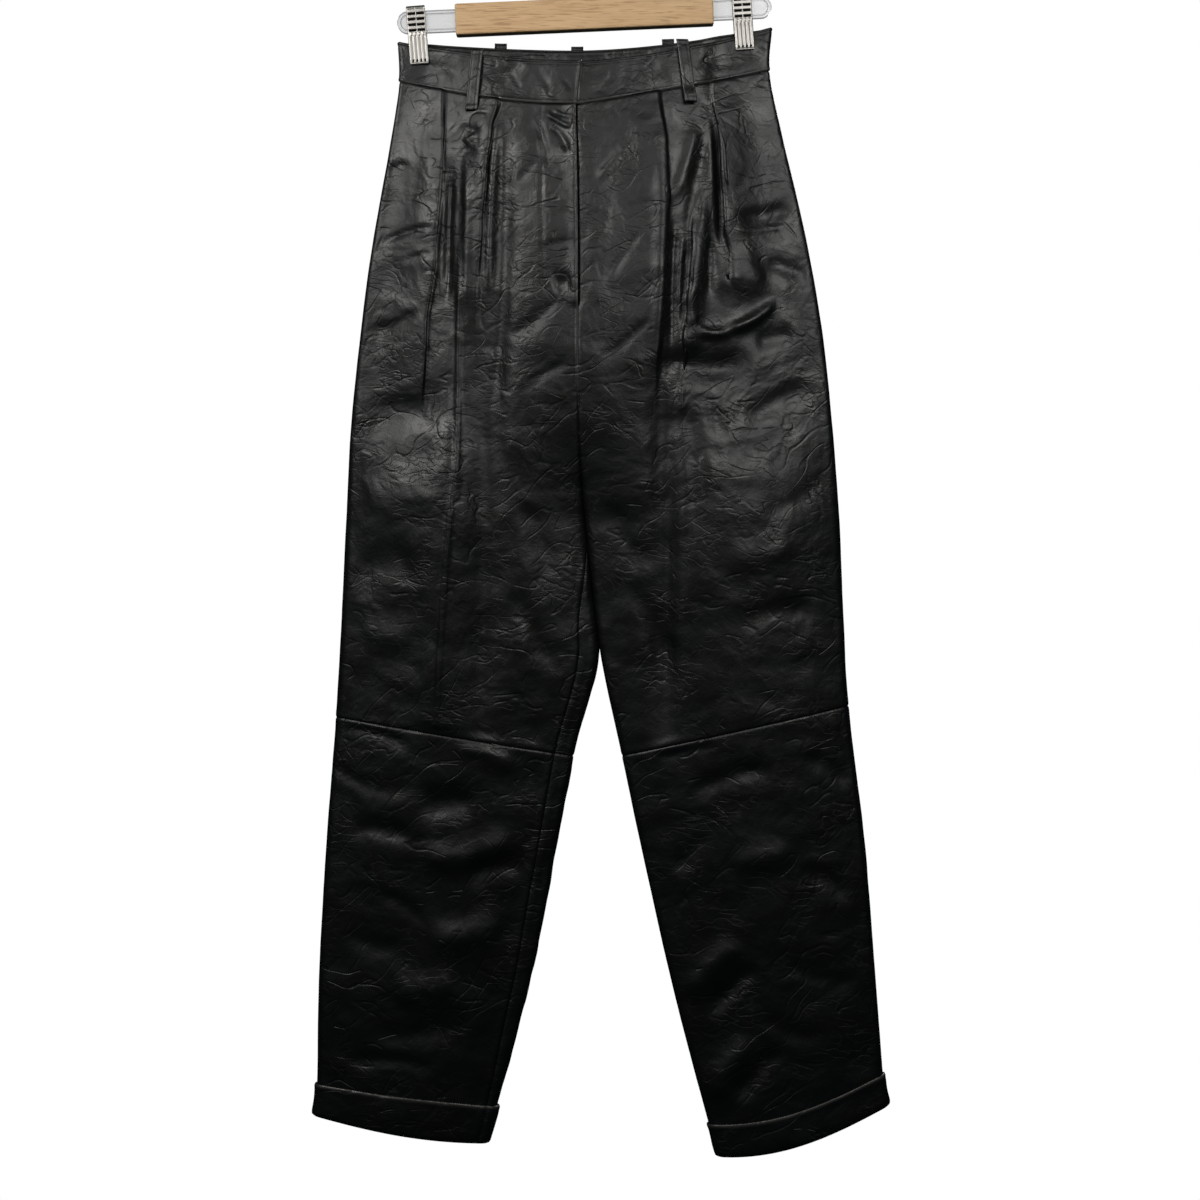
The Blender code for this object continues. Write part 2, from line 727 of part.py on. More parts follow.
def add_belt_loop(half, row, material, collection):
    """A strip sewn down at both ends over the band, standing off it in between."""
    outer, inner = [], []
    for step in range(LOOP_ROWS + 1):
        part = step / LOOP_ROWS
        centre = row.x_top + (row.x_bottom - row.x_top) * part
        z = row.z_top + (row.z_bottom - row.z_top) * part
        arch = LOOP_ARCH * math.sin(math.pi * part) ** LOOP_ARCH_POWER
        past_band = smooth((part - LOOP_BAND_SHARE) / LOOP_EASE)
        off = BAND_PROUD + LOOP_SEAT + arch + row.clear * past_band
        outer_row, inner_row = [], []
        for side in (-0.5, 0.0, 0.5):
            point, normal = skin(half, row.face, centre + side * LOOP_WIDTH, z)
            inner_row.append(point + normal * off)
            outer_row.append(point + normal * (off + LOOP_WALL))
        outer.append(outer_row)
        inner.append(inner_row)
    shell(row.name, outer, inner, material, collection)


# ---------------------------------------------------------------------------
# The hanger
# ---------------------------------------------------------------------------


def hanger_box(name, size, round_edges, material, collection):
    """A box about the bars' middle; round_edges is the radius of its bevelled edges."""
    form = bmesh.new()
    bmesh.ops.create_cube(form, size=1.0)
    bmesh.ops.scale(form, vec=Vector(size) * MM, verts=form.verts[:])
    if round_edges:
        bmesh.ops.bevel(
            form,
            geom=form.edges[:],
            offset=round_edges * MM,
            segments=2,
            profile=0.5,
            affect="EDGES",
        )
    return add_object(name, form, material, collection)


def hook_hole(material, collection):
    """The cutter for the hole in the wood's top that the hook's shank stands in."""
    form = bmesh.new()
    bmesh.ops.create_cone(
        form,
        cap_ends=True,
        segments=24,
        radius1=(HOOK_WIRE + FIT) * MM,
        radius2=(HOOK_WIRE + FIT) * MM,
        depth=WOOD_HEIGHT * MM,
        matrix=Matrix.Translation((0, 0, WOOD_HEIGHT / 2 * MM)),
    )
    return add_object("hook_hole_cutter", form, material, collection)


def add_wood(material, collection, cutters):
    """The wooden bar, with the slot that the clear bar runs through."""
    size = (WOOD_LENGTH, WOOD_THICK, WOOD_HEIGHT)
    wood = hanger_box("hanger_wood", size, WOOD_ROUND, material, collection)
    slot_size = (WOOD_LENGTH * 1.1, BAR_THICK + 2 * FIT, BAR_HEIGHT + 2 * FIT)
    slot = hanger_box("slot_cutter", slot_size, 0, material, cutters)
    hole = hook_hole(material, cutters)
    for cutter in (slot, hole):
        cutter.hide_render = True
        cutter.display_type = "WIRE"
        cut = wood.modifiers.new(cutter.name, "BOOLEAN")
        cut.operation = "DIFFERENCE"
        cut.object = cutter
    return [wood, slot, hole]


def add_bar(material, collection):
    """The clear plastic bar: a flat strip with round ends."""
    form = bmesh.new()
    bmesh.ops.create_cube(form, size=1.0)
    size = Vector((BAR_LENGTH, BAR_THICK, BAR_HEIGHT)) * MM
    bmesh.ops.scale(form, vec=size, verts=form.verts[:])
    corners = [
        edge
        for edge in form.edges
        if abs(edge.verts[0].co.y - edge.verts[1].co.y) > BAR_THICK / 2 * MM
    ]
    bmesh.ops.bevel(
        form,
        geom=corners,
        offset=BAR_END_ROUND * MM,
        segments=7,
        profile=0.5,
        affect="EDGES",
    )
    return add_object("hanger_bar", form, material, collection)


def clip_outline():
    """The clip's side view, as points (y, z): over the top, down one side's ribs and jaw, up
    inside, and the same again mirrored."""
    mouth = BAR_THICK / 2 + FIT
    outside = mouth + CLIP_WALL
    crown = CLIP_TOP - CLIP_WALL
    shoulder = CLIP_TOP - outside
    pitch = (shoulder + CLIP_RIBS_END) / CLIP_RIBS
    half = [(outside * CLIP_CORNER, CLIP_TOP - outside * (1 - CLIP_CORNER))]
    for rib in range(CLIP_RIBS):
        z = shoulder - rib * pitch
        half.append((outside + CLIP_RIB, z))
        half.append((outside + CLIP_RIB, z - pitch * RIB_SHARE))
        half.append((outside, z - pitch * (RIB_SHARE + RIB_SLOPE)))
    half.append((CLIP_JAW + CLIP_WALL, -CLIP_JAW_TOP))
    half.append((CLIP_JAW + CLIP_WALL, -CLIP_REACH))
    half.append((CLIP_JAW, -CLIP_REACH))
    half.append((CLIP_JAW, -CLIP_JAW_TOP))
    half.append((mouth, -CLIP_NECK))
    half.append((mouth, crown - mouth))
    half.append((mouth * CLIP_CORNER, crown - mouth * (1 - CLIP_CORNER)))
    mirrored = [(-y, z) for y, z in reversed(half)]
    return [(0.0, CLIP_TOP), *half, (0.0, crown), *mirrored]


def add_clip(row, material, collection):
    """A springy strip bent over the bar, ribbed across its shoulders, its two jaws below."""
    form = bmesh.new()
    start = -CLIP_WIDTH / 2
    verts = [form.verts.new(Vector((start, y, z)) * MM) for y, z in clip_outline()]
    side = form.faces.new(verts)
    made = bmesh.ops.extrude_face_region(form, geom=[side])
    moved = [item for item in made["geom"] if isinstance(item, bmesh.types.BMVert)]
    bmesh.ops.translate(form, vec=(CLIP_WIDTH * MM, 0, 0), verts=moved)
    clip = add_object(row.name, form, material, collection)
    clip.location.x = row.x * MM
    clip.rotation_euler.y = math.radians(-row.lean)
    return clip


def add_hook(material, collection):
    """A steel wire: a straight shank, an easy S, then the bend that hangs on a rail."""
    middle = Vector((-BAR_SHIFT, 0, BAR_DROP - HOOK_BEND + HOOK_WIRE))
    start, end = math.radians(HOOK_START), math.radians(HOOK_END)
    bend = []
    for step in range(HOOK_BEND_STEPS + 1):
        angle = start + (end - start) * step / HOOK_BEND_STEPS
        bend.append(middle + HOOK_BEND * Vector((math.cos(angle), 0, math.sin(angle))))
    heading = Vector((-math.sin(start), 0, math.cos(start)))
    shank_top = Vector((0, 0, BAR_DROP - SHANK_TOP))
    leave = shank_top + Vector((0, 0, SHANK_EASE))
    arrive = bend[0] - heading * SHANK_EASE
    points = [Vector((0, 0, BAR_HEIGHT / 2 + 2 * FIT))]
    for step in range(HOOK_S_STEPS):
        part = step / HOOK_S_STEPS
        rest = 1 - part
        points.append(
            shank_top * rest**3
            + leave * 3 * rest**2 * part
            + arrive * 3 * rest * part**2
            + bend[0] * part**3
        )
    points += bend
    curve = bpy.data.curves.new("hook", "CURVE")
    curve.dimensions = "3D"
    curve.bevel_depth = HOOK_WIRE * MM
    curve.bevel_resolution = 2
    curve.use_fill_caps = True
    spline = curve.splines.new("POLY")
    spline.points.add(len(points) - 1)
    for target, point in zip(spline.points, points):
        target.co = (*(point * MM), 1)
    curve.materials.append(material)
    hook = bpy.data.objects.new("hook", curve)
    collection.objects.link(hook)
    return hook


def add_hanger(wood, clear, metal, collection, cutters):
    """All of the hanger's pieces, on a frame that tilts about the hanging point."""
    frame = bpy.data.objects.new("hanger_frame", None)
    collection.objects.link(frame)
    frame.location = hanger_point(0, 0, 0) * MM
    frame.rotation_euler.y = math.radians(-HANGER_TILT)
    pieces = add_wood(wood, collection, cutters)
    pieces.append(add_bar(clear, collection))
    pieces.append(add_hook(metal, collection))
    pieces += [add_clip(row, metal, collection) for row in CLIPS]
    for piece in pieces:
        piece.parent = frame


# ---------------------------------------------------------------------------
# Everything, in one collection
# ---------------------------------------------------------------------------

for old in list(bpy.data.objects):
    bpy.data.objects.remove(old)

garment = bpy.data.collections.new("leather_trousers_on_hanger")
cutter_collection = bpy.data.collections.new("cutters")
for group in (garment, cutter_collection):
    bpy.context.scene.collection.children.link(group)

leather = make_material("black_leather", (0.018, 0.018, 0.019), 0.42)
nickel = make_material("satin_nickel", (0.58, 0.55, 0.5), 0.32, 1.0)
beech = make_material("beech", (0.52, 0.33, 0.17), 0.55)
acrylic = make_material("clear_acrylic", (0.9, 0.92, 0.92), 0.1)

clip_places = [hanger_point(row.x, 0, -30).x for row in CLIPS]
left_half = Half("left", LEFT_LEVELS, LEFT_SEAMS, PLEATS["left"], clip_places[0])
right_half = Half("right", RIGHT_LEVELS, RIGHT_SEAMS, PLEATS["right"], clip_places[1])
for one_half in (left_half, right_half):
    add_panels(one_half, leather, garment)
    add_cuff(one_half, leather, garment)
add_waistband(left_half, right_half, leather, garment)
for loop_row in BELT_LOOPS:
    owner = left_half if loop_row.half == "left" else right_half
    add_belt_loop(owner, loop_row, leather, garment)
add_hanger(beech, acrylic, nickel, garment, cutter_collection)
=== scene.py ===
"""The looks of pleated black leather trousers on a clip hanger.

Left and right are as seen from the front, which faces -Y. Cloth sizes are in millimetres, and
the origin is the point that the hanger's hook hangs from.
"""

import math
from collections import namedtuple

import bmesh
import bpy
import numpy as np
from mathutils import Matrix, Vector, noise
from mathutils.bvhtree import BVHTree
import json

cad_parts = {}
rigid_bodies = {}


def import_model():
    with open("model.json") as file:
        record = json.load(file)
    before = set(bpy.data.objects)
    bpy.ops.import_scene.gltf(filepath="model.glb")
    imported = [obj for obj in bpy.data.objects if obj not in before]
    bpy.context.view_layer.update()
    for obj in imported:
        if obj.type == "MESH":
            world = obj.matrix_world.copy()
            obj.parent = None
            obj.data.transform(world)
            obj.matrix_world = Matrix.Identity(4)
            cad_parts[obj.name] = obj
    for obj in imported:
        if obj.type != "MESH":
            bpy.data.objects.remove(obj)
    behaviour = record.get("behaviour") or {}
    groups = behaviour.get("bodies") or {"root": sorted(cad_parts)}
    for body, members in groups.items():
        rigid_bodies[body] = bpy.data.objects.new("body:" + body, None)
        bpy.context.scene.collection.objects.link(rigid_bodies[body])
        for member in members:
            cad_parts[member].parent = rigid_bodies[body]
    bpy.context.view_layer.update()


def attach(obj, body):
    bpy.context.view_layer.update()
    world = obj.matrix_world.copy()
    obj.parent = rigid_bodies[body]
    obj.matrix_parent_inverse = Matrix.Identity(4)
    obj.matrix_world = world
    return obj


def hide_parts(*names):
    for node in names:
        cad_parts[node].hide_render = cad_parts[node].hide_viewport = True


for old in list(bpy.data.objects):
    bpy.data.objects.remove(old)
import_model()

# ------------
# The cut: two half tubes of leather, one for each leg and the hip above it. Each is cut to a
# smooth line from the waist to the hem, swells a little in front and behind where it hangs,
# and is folded flat along its side edge and, below the crotch, along its inner edge.

SEAM_GAP = 0.3  # between two pieces that are sewn together
TORSO_FULLNESS = 1.3  # how late the front swells, going in from the side
LEG_FULLNESS = 0.9
CLOSING = 2.0  # levels above the crotch over which the legs part
CLOSING_POWER = 0.6  # below 1, most of that is near the crotch
FOLD_CLOSES = 3  # how early in that the fold between the legs has its full radius
CLIP_PINCH = 3.3  # half the waist's thickness between the jaws of a clip
PINCH_REACH = 24.0  # how far along the band a clip's pinch is felt
PINCH_LEVEL = 0.7  # the level down to which it is, and the levels over which it fades
PINCH_FADE = 1.3

# One row for each height. x and z on the side edge and on the middle line; bow is how a
# level's height runs between them; front and back are the swell, edge is the fold's radius,
# lift raises the back's middle.
Level = namedtuple("Level", "name x_side x_mid z_side z_mid bow front back edge lift")

LEFT_LEVELS = [
    Level("waist_top", -169, -6, -130, -150, 1.0, 13, 12, 3.2, 16),
    Level("waist_seam", -168, -10, -166, -190, 1.0, 17, 15, 3.4, 15),
    Level("pocket", -177, -9, -226, -237, 0.8, 22, 21, 4.2, 12),
    Level("hip", -193, -8, -317, -322, 0.5, 25, 27, 5.0, 9),
    Level("fly_end", -204, -8, -402, -405, 0.3, 26, 30, 5.6, 6),
    Level("seat", -212, -6, -484, -488, 0.0, 26, 30, 6.0, 3),
    Level("crotch", -216, -1, -562, -562, 0.0, 24, 26, 6.2, 0),
    Level("fork", -220, 12, -652, -676, 0.0, 20, 22, 6.2, 0),
    Level("knee", -225, -11, -737, -772, 0.0, 18, 19, 6.2, 0),
    Level("shin", -234, -30, -857, -882, 0.0, 15, 17, 6.2, 0),
    Level("ankle", -240, -54, -966, -990, 0.0, 13, 15, 6.2, 0),
    Level("cuff_top", -242, -79, -1066, -1086, 0.0, 12, 13, 6.2, 0),
    Level("hem", -245, -88, -1095, -1120, 0.6, 12, 13, 6.2, 0),
]
RIGHT_LEVELS = [
    Level("waist_top", 167, -6, -117, -150, 0.8, 13, 12, 3.2, 16),
    Level("waist_seam", 165, -10, -156, -190, 0.3, 17, 15, 3.4, 15),
    Level("pocket", 177, -9, -216, -237, 0.3, 22, 21, 4.2, 12),
    Level("hip", 198, -8, -306, -322, 0.3, 25, 27, 5.0, 9),
    Level("fly_end", 213, -8, -393, -405, 0.2, 26, 30, 5.6, 6),
    Level("seat", 222, -6, -478, -488, 0.0, 26, 30, 6.0, 3),
    Level("crotch", 228, -1, -560, -562, 0.0, 24, 26, 6.2, 0),
    Level("fork", 232, 12, -650, -676, 0.0, 20, 22, 6.2, 0),
    Level("knee", 236, 32, -727, -772, 0.0, 18, 19, 6.2, 0),
    Level("shin", 250, 56, -845, -885, 0.3, 15, 17, 6.2, 0),
    Level("ankle", 259, 82, -951, -997, 0.7, 13, 15, 6.2, 0),
    Level("cuff_top", 267, 110, -1057, -1102, 1.0, 12, 13, 6.2, 0),
    Level("hem", 272, 118, -1086, -1132, 1.0, 12, 13, 6.2, 0),
]
LEVEL = {row.name: number for number, row in enumerate(LEFT_LEVELS)}

# How far the inseam and the side seam have come forward of the leg's folds.
SeamShift = namedtuple("SeamShift", "level inseam side")
LEFT_SEAMS = [
    SeamShift("crotch", 0, 0),
    SeamShift("fork", 21, 0),
    SeamShift("knee", 20, 0),
    SeamShift("shin", 21, 0),
    SeamShift("ankle", 17, 0),
    SeamShift("cuff_top", 13, 0),
    SeamShift("hem", 13, 0),
]
RIGHT_SEAMS = [
    SeamShift("crotch", 0, 0),
    SeamShift("fork", 0, 1),
    SeamShift("knee", 0, 3),
    SeamShift("shin", 0, 4),
    SeamShift("ankle", 0, 2),
    SeamShift("cuff_top", 0, 1),
    SeamShift("hem", 0, 1),
]


def smooth(part):
    """Eases from 0 to 1."""
    part = np.clip(part, 0.0, 1.0)
    return part * part * (3 - 2 * part)


def between(values, number):
    """A smooth curve through equally spaced values, read at any numbers."""
    values = np.asarray(values, float)
    last = len(values) - 1
    number = np.clip(number, 0.0, last)
    low = np.minimum(number.astype(int), last - 1)
    part = number - low
    here, there = values[low], values[low + 1]
    before, after = values[np.maximum(low - 1, 0)], values[np.minimum(low + 2, last)]
    slope_here = np.where(low > 0, (there - before) / 2, there - here)
    slope_there = np.where(low + 2 <= last, (after - here) / 2, there - here)
    square, cube = part**2, part**3
    rising = 3 * square - 2 * cube
    bends = (cube - 2 * square + part) * slope_here + (cube - square) * slope_there
    return here + rising * (there - here) + bends


def table_value(places, values, place):
    """A table's value, eased between the two places on either side."""
    number = np.interp(place, places, np.arange(len(places), dtype=float))
    low = np.minimum(number.astype(int), len(places) - 2)
    values = np.asarray(values, float)
    return values[low] + smooth(number - low) * (values[low + 1] - values[low])


def round_end(distance, radius):
    """Half the thickness of a rounded fold, at a distance in from its edge."""
    inside = radius - np.clip(distance, 0.0, radius)
    return np.sqrt(np.maximum(radius * radius - inside * inside, 0.0))


class Half:
    """A leg and the hip above it. Levels and places are arrays; a place is a distance round
    the section, from the side edge across the front to the middle, and back behind."""

    def __init__(self, name, levels, seams, clip_x):
        self.name = name
        self.inward = 1 if name == "left" else -1
        self.columns = {
            field: [getattr(row, field) for row in levels] for field in Level._fields[1:]
        }
        self.seam_levels = [LEVEL[row.level] for row in seams]
        self.inseams = [row.inseam for row in seams]
        self.side_seams = [row.side for row in seams]
        self.clip_x = clip_x

    def value(self, field, level):
        level = np.asarray(level, float)
        values = self.columns[field]
        if field != "x_mid":
            return between(values, level)
        fork = LEVEL["fork"]
        return np.where(level <= fork, between(values[: fork + 1], level), between(values, level))

    def width(self, level):
        return abs(self.value("x_side", level) - self.value("x_mid", level)) - SEAM_GAP / 2

    def closed(self, level):
        """0 in the hip, and 1 from the crotch down, where each leg is a tube of its own."""
        return 1 - smooth((LEVEL["crotch"] - level) / CLOSING) ** CLOSING_POWER

    def middle_radius(self, level):
        return self.value("edge", level) * np.minimum(1.0, FOLD_CLOSES * self.closed(level))

    def length(self, level):
        """How long one face is, from the side edge round both folds to the middle line."""
        folds = self.value("edge", level) + self.middle_radius(level)
        return self.width(level) + folds * (math.pi / 2 - 1)

    def distance(self, level, place):
        """How far in from the side edge a place on one face is."""
        radius = self.value("edge", level)
        inner = self.middle_radius(level)
        left_over = np.maximum(self.length(level) - place, 0.0)
        from_side = radius * (1 - np.cos(np.minimum(place / radius, math.pi / 2)))
        turn = np.minimum(left_over / np.maximum(inner, 1e-6), math.pi / 2)
        from_middle = self.width(level) - inner * (1 - np.cos(turn))
        flat = radius + place - radius * math.pi / 2
        inside = np.where(left_over < inner * math.pi / 2, from_middle, flat)
        return np.where(place < radius * math.pi / 2, from_side, inside)

    def depth(self, swell, level, distance):
        """How far in front of or behind the middle plane the plain cloth lies."""
        width = self.width(level)
        part = np.clip(distance / width, 0.0, 1.0)
        radius = self.value("edge", level)
        side = round_end(distance, radius)
        torso = side + swell * np.sin(math.pi / 2 * part) ** TORSO_FULLNESS
        middle = round_end(width - distance, radius)
        leg = np.minimum(side, middle)
        leg = leg + swell * np.maximum(np.sin(math.pi * part), 0.0) ** LEG_FULLNESS
        closed = self.closed(level)
        depth = (1 - closed) * torso + closed * leg
        x = self.value("x_side", level) + self.inward * distance
        near_clip = np.exp(-(((x - self.clip_x) / PINCH_REACH) ** 4))
        near_top = 1 - smooth((level - PINCH_LEVEL) / PINCH_FADE)
        return depth - np.maximum(depth - CLIP_PINCH, 0.0) * near_clip * near_top

    def point(self, level, place, raised=0.0, sideways=0.0):
        """Points of the outer surface, in millimetres, as an array of (x, y, z)."""
        level, place = np.broadcast_arrays(np.asarray(level, float), place)
        length = self.length(level)
        place = np.where(place > 2 * length, place - 2 * length, place)
        behind = (place < 0) | (place > length)
        place = np.where(place < 0, -place, np.where(place > length, 2 * length - place, place))
        return self.on_face(behind, level, self.distance(level, place) + sideways, raised)

    def on_face(self, behind, level, distance, raised=0.0):
        """Points of the front or the back at distances in from the side edge."""
        swell = np.where(behind, self.value("back", level), self.value("front", level))
        part = np.clip(distance / self.width(level), 0.0, 1.0)
        bow = self.value("bow", level)
        run = (1 - bow) * part + bow * np.sin(math.pi / 2 * part)
        z_side, z_mid = self.value("z_side", level), self.value("z_mid", level)
        z_mid = z_mid + np.where(behind, self.value("lift", level), 0.0)
        depth = self.depth(swell, level, distance) + raised
        x = self.value("x_side", level) + self.inward * distance
        return np.stack([x, np.where(behind, depth, -depth), z_side + (z_mid - z_side) * run], -1)

    def inseam(self, level):
        return self.length(level) - table_value(self.seam_levels, self.inseams, level)

    def side_seam(self, level):
        return table_value(self.seam_levels, self.side_seams, level)


LEFT = Half("left", LEFT_LEVELS, LEFT_SEAMS, clip_x=-158.3)
RIGHT = Half("right", RIGHT_LEVELS, RIGHT_SEAMS, clip_x=134.5)

# ------------
# Leather: black lambskin a good millimetre thick, dyed through, and tumbled until it is
# crinkled all over. It has a low satin sheen, and has rubbed browner and smoother on the tops
# of its dents. Along its folded edges a lighter, browner line is painted on: partly rubbed
# wear, partly a painted highlight.


class Wire:
    """A socket that shader sums are written with."""

    def __init__(self, tree, socket):
        self.tree, self.socket = tree, socket

    def sum(self, operation, *values):
        return self.tree.node("ShaderNodeMath", {"operation": operation}, dict(enumerate(values)))

    def __add__(self, other):
        return self.sum("ADD", self, other)

    def __sub__(self, other):
        return self.sum("SUBTRACT", self, other)

    def __rsub__(self, other):
        return self.sum("SUBTRACT", other, self)

    def __mul__(self, other):
        return self.sum("MULTIPLY", self, other)

    __radd__ = __add__
    __rmul__ = __mul__

    def size(self):
        return self.sum("ABSOLUTE", self)


class Finish:
    """A material whose nodes are written as sums of wires."""

    def __init__(self, name, **constants):
        self.material = bpy.data.materials.new(name)
        self.material.use_nodes = True
        self.nodes = self.material.node_tree.nodes
        self.shader = self.nodes["Principled BSDF"]
        for socket, value in constants.items():
            self.shader.inputs[socket.replace("_", " ")].default_value = value

    def node(self, kind, settings, inputs, output=0):
        """A node with its settings, its sockets' values or wires, and a wire from one output."""
        node = self.nodes.new(kind)
        for name, value in settings.items():
            setattr(node, name, value)
        for name, value in inputs.items():
            if isinstance(value, Wire):
                self.material.node_tree.links.new(value.socket, node.inputs[name])
            else:
                node.inputs[name].default_value = value
        return Wire(self, node.outputs[output])

    def place(self, scale=(1, 1, 1)):
        """The place in metres, in which a pattern gets shorter by the scale."""
        spot = self.node("ShaderNodeTexCoord", {}, {}, "Object")
        return self.node("ShaderNodeMapping", {}, {"Vector": spot, "Scale": scale})

    def drawn_out(self, lean, longer):
        """A place in which a pattern gets longer along a line that leans by some degrees."""
        spot = self.node("ShaderNodeTexCoord", {}, {}, "Object")
        turned = {"Vector": spot, "Rotation": (0, math.radians(lean), 0), "Scale": (longer, 1, 1)}
        return self.node("ShaderNodeMapping", {"vector_type": "TEXTURE"}, turned)

    def noise(self, place, scale, detail=2.0, distortion=0.0):
        sockets = {"Vector": place, "Scale": scale, "Detail": detail, "Distortion": distortion}
        return self.node("ShaderNodeTexNoise", {}, sockets, "Fac")

    def blend(self, factor, low, high, way="MIX"):
        """Two shades mixed, each a wire or a red, green and blue."""
        low, high = (shade if isinstance(shade, Wire) else (*shade, 1) for shade in (low, high))
        settings = {"data_type": "RGBA", "blend_type": way}
        return self.node("ShaderNodeMix", settings, {0: factor, 6: low, 7: high}, 2)

    def marks(self):
        """The marks that a mesh carries, from 0 to 1: on leather a painted highlight with some
        rubbed wear, on metal painted shade.
        """
        return self.node("ShaderNodeAttribute", {"attribute_name": "marks"}, {}, "Fac")

    def step(self, value, low, high):
        """0 below low, 1 above high, and eased between."""
        sockets = {"Value": value, "From Min": low, "From Max": high}
        settings = {"interpolation_type": "SMOOTHSTEP"}
        return self.node("ShaderNodeMapRange", settings, sockets)

    def warp(self, place, scale, reach):
        """The same place, pushed about by up to half of reach."""
        sockets = {"Vector": place, "Scale": scale, "Detail": 1.0}
        swirl = self.node("ShaderNodeTexNoise", {}, sockets, "Color")
        sums = {0: swirl, 1: (reach, reach, reach), 2: place}
        return self.node("ShaderNodeVectorMath", {"operation": "MULTIPLY_ADD"}, sums)

    def creases(self, place, scale, width):
        """1 along thin wandering lines, 0 between them."""
        flow = self.noise(place, scale, 1.0)
        return 1 - self.step((flow - 0.5).size(), 0.0, width)

    def bump(self, height, depth, under=None):
        """A normal for bumps of a depth in metres, laid over other bumps."""
        sockets = {"Height": height, "Distance": depth, "Strength": 1.0}
        if under is not None:
            sockets["Normal"] = under
        return self.node("ShaderNodeBump", {}, sockets)

    def use(self, socket, wire):
        self.material.node_tree.links.new(wire.socket, self.shader.inputs[socket])


DENT_DEPTH = 0.0022  # of the bumps that only the finish has, in metres
CREASE_DEPTH = 0.0004
GRAIN_DEPTH = 0.00005
BLACK, WORN_BLACK = (0.0008, 0.0013, 0.0016), (0.0065, 0.0056, 0.005)
# The lighter colour painted along edges: rubbed wear and a painted highlight.
EDGE_WEAR_AND_HIGHLIGHT = (0.10, 0.096, 0.09)


def leather_finish():
    """Smooth skin with thin creases in patches, short wrinkles across them and a fine grain.
    Where it has rubbed the black is browner and shines more. Along folded edges the marks
    paint a lighter, smoother line: partly rubbed wear, partly a painted highlight."""
    skin = Finish("crinkled_leather", Specular_IOR_Level=0.5)
    place = skin.place()
    bent = skin.warp(place, 16.0, 0.045)
    twisted = skin.warp(place, 42.0, 0.016)
    patches = skin.step(skin.noise(place, 12.0, 2.0), 0.38, 0.60)
    other_patches = skin.step(skin.noise(place, 17.0, 2.0, 0.4), 0.42, 0.62)
    fine_patches = skin.step(skin.noise(bent, 26.0, 2.0), 0.44, 0.64)
    broken = skin.step(skin.noise(twisted, 60.0, 1.0), 0.42, 0.56)
    dents = skin.noise(bent, 34.0, 2.5)
    level = skin.warp(skin.drawn_out(4.0, 2.4), 30.0, 0.022)
    rising = skin.warp(skin.drawn_out(-42.0, 2.6), 26.0, 0.018)
    falling = skin.warp(skin.drawn_out(36.0, 2.6), 28.0, 0.018)
    folds = skin.creases(level, 46.0, 0.035) * patches * broken
    rises = skin.creases(rising, 52.0, 0.035) * other_patches
    falls = skin.creases(falling, 56.0, 0.035) * fine_patches * broken
    wrinkles = skin.creases(level, 120.0, 0.05) * fine_patches
    pinches = skin.noise(twisted, 210.0, 2.0, 0.8)
    grain = skin.noise(place, 1500.0, 2.0)
    lines = folds * 0.8 + rises * 0.6 + falls * 0.6 + wrinkles * 0.35 + pinches * 0.5
    normal = skin.bump(dents, DENT_DEPTH)
    normal = skin.bump(1 - lines, CREASE_DEPTH, normal)
    skin.use("Normal", skin.bump(grain, GRAIN_DEPTH, normal))
    # The marks paint edges lighter and browner: partly rubbed wear, partly a painted highlight.
    edges = skin.marks()
    rubbed = skin.step(dents + fine_patches * 0.1, 0.42, 0.75)
    tone = skin.blend(rubbed * 0.8, BLACK, WORN_BLACK)
    skin.use("Base Color", skin.blend(edges * 0.8, tone, EDGE_WEAR_AND_HIGHLIGHT))
    skin.use("Roughness", 0.46 + 0.12 * wrinkles - 0.10 * rubbed - 0.12 * edges)
    return skin.material


leather = leather_finish()

# ------------
# The front panels: one skin each side, laid in pleats at the waist seam. The pressed folds
# run out below the hip, and the leather bags and buckles where they let it go.

# A pleat's edge faces the side or the centre, and its fold settles over a reach beyond. A row
# says where the edge is at one height, how high it stands and how far it hangs over.
Pleat = namedtuple("Pleat", "toward reach rows")
PleatRow = namedtuple("PleatRow", "z x height overhang")
SIDE, CENTRE = 1, -1

OUTER_LEFT = [
    PleatRow(-186, -127, 3.2, 0.0),
    PleatRow(-215, -127, 5.5, 1.2),
    PleatRow(-250, -128, 7.0, 2.2),
    PleatRow(-325, -134, 7.5, 2.2),
    PleatRow(-390, -142, 6.5, 1.6),
    PleatRow(-440, -144, 4.5, 0.4),
    PleatRow(-480, -144, 0.0, 0.0),
    PleatRow(-775, -150, 0.0, 0.0),
]
INNER_LEFT = [
    PleatRow(-186, -77, 3.0, 0.0),
    PleatRow(-212, -84, 5.5, 1.0),
    PleatRow(-250, -89, 6.5, 1.8),
    PleatRow(-300, -92, 5.5, 1.2),
    PleatRow(-352, -95, 2.6, 0.0),
    PleatRow(-400, -97, 0.0, 0.0),
    PleatRow(-775, -105, 0.0, 0.0),
]
OUTER_RIGHT = [
    PleatRow(-180, 113, 3.2, 0.0),
    PleatRow(-205, 116, 5.5, 1.2),
    PleatRow(-245, 118, 7.0, 2.0),
    PleatRow(-290, 121, 6.5, 1.4),
    PleatRow(-325, 128, 3.5, 0.0),
    PleatRow(-370, 134, 0.0, 0.0),
    PleatRow(-775, 160, 0.0, 0.0),
]
MIDDLE_RIGHT = [  # a fold that starts below the two pleats
    PleatRow(-180, 93, 0.0, 0.0),
    PleatRow(-275, 94, 0.0, 0.0),
    PleatRow(-310, 93, 4.5, 0.8),
    PleatRow(-345, 90, 7.0, 2.0),
    PleatRow(-395, 86, 5.0, 0.6),
    PleatRow(-440, 84, 0.5, 0.0),
    PleatRow(-775, 115, 0.0, 0.0),
]
